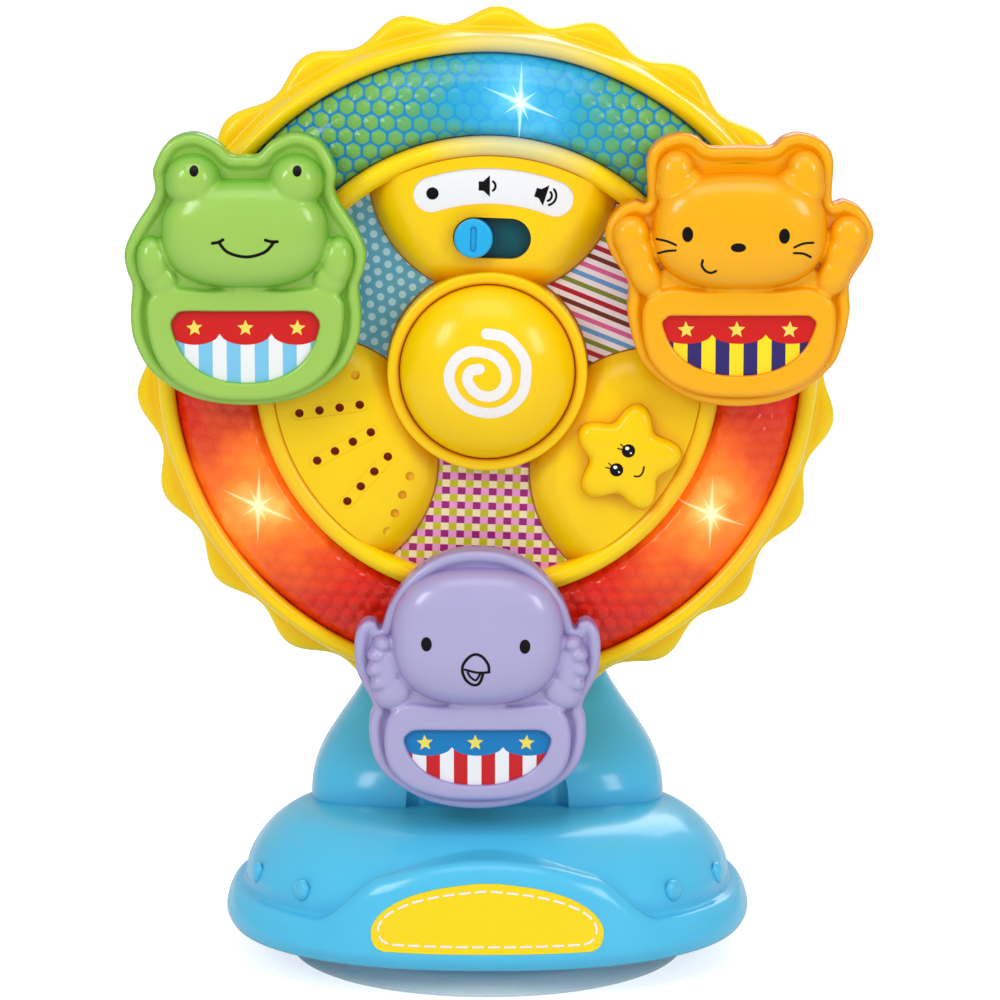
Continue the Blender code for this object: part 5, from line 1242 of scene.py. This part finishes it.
gondola(
    "cat", "cat_orange", 42.2, cat_outline, (0.0, 0.081, 0.531, 0.356),
    [(0.394, 0.425, 0.118, 0.15, 8, 0.52), (0.35, 0.33, 0.175, 0.15, 24, 0.54),
     (0.66, 0.05, 0.118, 0.128, 0, 0.46), (0.628, -0.05, 0.112, 0.16, -22, 0.43),
     (0.58, -0.175, 0.1, 0.16, -24, 0.4), (0.34, -0.235, 0.23, 0.09, 0, 0.12)],
    (0.592, -0.49, -0.262, 0.42, -0.938), (0.466, -0.485, -0.434, 0.42, -0.801),
    (rgb(252, 226, 32), rgb(48, 38, 110), -0.6), "canopy_red", (-0.69, -0.03, 0.66), [
        disc((-13.7, 3.3), 1.4, 1.95), disc((10.9, 2.9), 1.4, 1.95), disc((-0.8, 0.0), 1.95, 1.15),
        stroke([(-9.8, -3.3), (-10.0, -4.7), (-9.0, -6.1), (-7.6, -6.6), (-6.4, -6.1)], 0.65),
        *[stroke(whisker, 0.6) for whisker in (
            [(-21.4, 1.7), (-19.0, 1.4), (-16.6, 0.5)], [(-21.0, -2.0), (-18.9, -1.2), (-16.7, -0.9)],
            [(13.5, 0.0), (15.8, 0.9), (18.4, 1.0)], [(13.4, -1.5), (15.8, -1.7), (17.8, -2.7)],
        )],
    ],
)
gondola(
    "bird", "bird_lilac", 41.4, bird_outline, (0.0, 0.12, 0.545, 0.438),
    [(0.585, -0.095, 0.1, 0.22, -8, 0.42), (0.54, -0.23, 0.13, 0.12, -35, 0.38),
     (0.596, 0.078, 0.066, 0.056, 20, 0.5), (0.632, 0.005, 0.068, 0.056, 5, 0.5),
     (0.638, -0.085, 0.068, 0.058, -10, 0.49), (0.618, -0.175, 0.064, 0.058, -20, 0.46),
     (0.34, -0.29, 0.24, 0.09, 0, 0.12)],
    (0.592, -0.565, -0.305, 0.45, -0.935), (0.461, -0.551, -0.476, 0.38, -0.832),
    (white, rgb(204, 24, 34), -0.8), "canopy_blue", (-0.72, -0.03, 0.67), [
        disc((-13.2, 4.4), 1.4, 1.9), disc((12.3, 3.8), 1.4, 1.9),
        stroke([(-3.9, -2.9), (-3.7, -0.9), (-2.2, 1.1), (-0.4, 1.9), (1.4, 1.1), (2.8, -0.9), (3.0, -2.9)], 0.75),
        stroke([(3.0, -2.9), (0.0, -3.0), (-3.2, -2.2)], 0.65),
        stroke([(-3.9, -2.9), (-3.0, -5.0), (-1.4, -6.3), (0.0, -6.3), (0.9, -5.2), (1.5, -3.1)], 0.75),
        stroke([(-2.5, -3.0), (-1.8, -4.2), (-0.5, -5.1), (0.3, -4.1), (0.8, -3.1)], 0.6),
    ],
)
back_shell()
base()
piece("sign", sign_sheet(0, 0, 0.5), on_stand, "sign_yellow", "sign_label", sharp=50)
stitches()
foot()
neck()


# Stage, lights and camera

def stage_floor():
    """A pale floor that looks white to the camera and keeps the toy's shadow."""
    finish = Finish("stage_floor", Roughness=0.9)
    noise = finish.spread(finish.noise(0.02, 2))
    finish.shade("Base Color", finish.mix(noise, (0.82, 0.82, 0.83, 1), (0.85, 0.85, 0.85, 1)))
    finish.shade("Emission Color", (1, 1, 1, 1))
    finish.shade("Emission Strength", finish.math("MULTIPLY", finish.new("LightPath", output=0), 0.66))


stage_floor()
floor_mesh = bpy.data.meshes.new("floor")
floor_mesh.from_pydata([(-8, -4, 0), (8, -4, 0), (8, 14, 0), (-8, 14, 0)], [], [(0, 1, 2, 3)])
floor_mesh.materials.append(finishes["stage_floor"])
floor = bpy.data.objects.new("floor", floor_mesh)
bpy.context.scene.collection.objects.link(floor)

world = bpy.data.worlds.new("studio")
bpy.context.scene.world = world
world.use_nodes = True
tree = world.node_tree
background = tree.nodes["Background"]
background.inputs["Color"].default_value = (1, 1, 1, 1)
# The camera sees a white backdrop, and the toy is lit by a dimmer one.
path = tree.nodes.new("ShaderNodeLightPath")
strength = tree.nodes.new("ShaderNodeMapRange")
strength.inputs["To Min"].default_value = 0.52
strength.inputs["To Max"].default_value = 1.0
tree.links.new(path.outputs["Is Camera Ray"], strength.inputs["Value"])
tree.links.new(strength.outputs[0], background.inputs["Strength"])


def softbox(name, location, size, power):
    light = bpy.data.lights.new(name, "AREA")
    light.shape = "RECTANGLE"
    light.size, light.size_y = size
    light.energy = power
    lamp = bpy.data.objects.new(name, light)
    lamp.location = location
    aim = Vector((0, 0, 0.13)) - Vector(location)
    lamp.rotation_euler = aim.to_track_quat("-Z", "Y").to_euler()
    bpy.context.scene.collection.objects.link(lamp)


softbox("key", (-0.75, -0.85, 0.75), (0.28, 0.45), 3.8)
softbox("fill", (0.8, -0.8, 0.6), (0.28, 0.45), 3.0)
softbox("top", (0.0, -0.55, 1.1), (0.8, 0.6), 3.5)
softbox("back", (0.3, 1.1, 0.8), (0.8, 0.6), 4.0)

camera = bpy.data.cameras.new("camera")
camera.lens = 150.5
camera.sensor_width = 36
camera.shift_x = 0.0127
viewer = bpy.data.objects.new("camera", camera)
viewer.location = (places["wheel_spin"].x, -1.1, 0.315)
viewer.rotation_euler = (radians(90 - 9.96), 0, 0)
bpy.context.scene.collection.objects.link(viewer)
bpy.context.scene.camera = viewer
bpy.context.scene.view_settings.view_transform = "Standard"
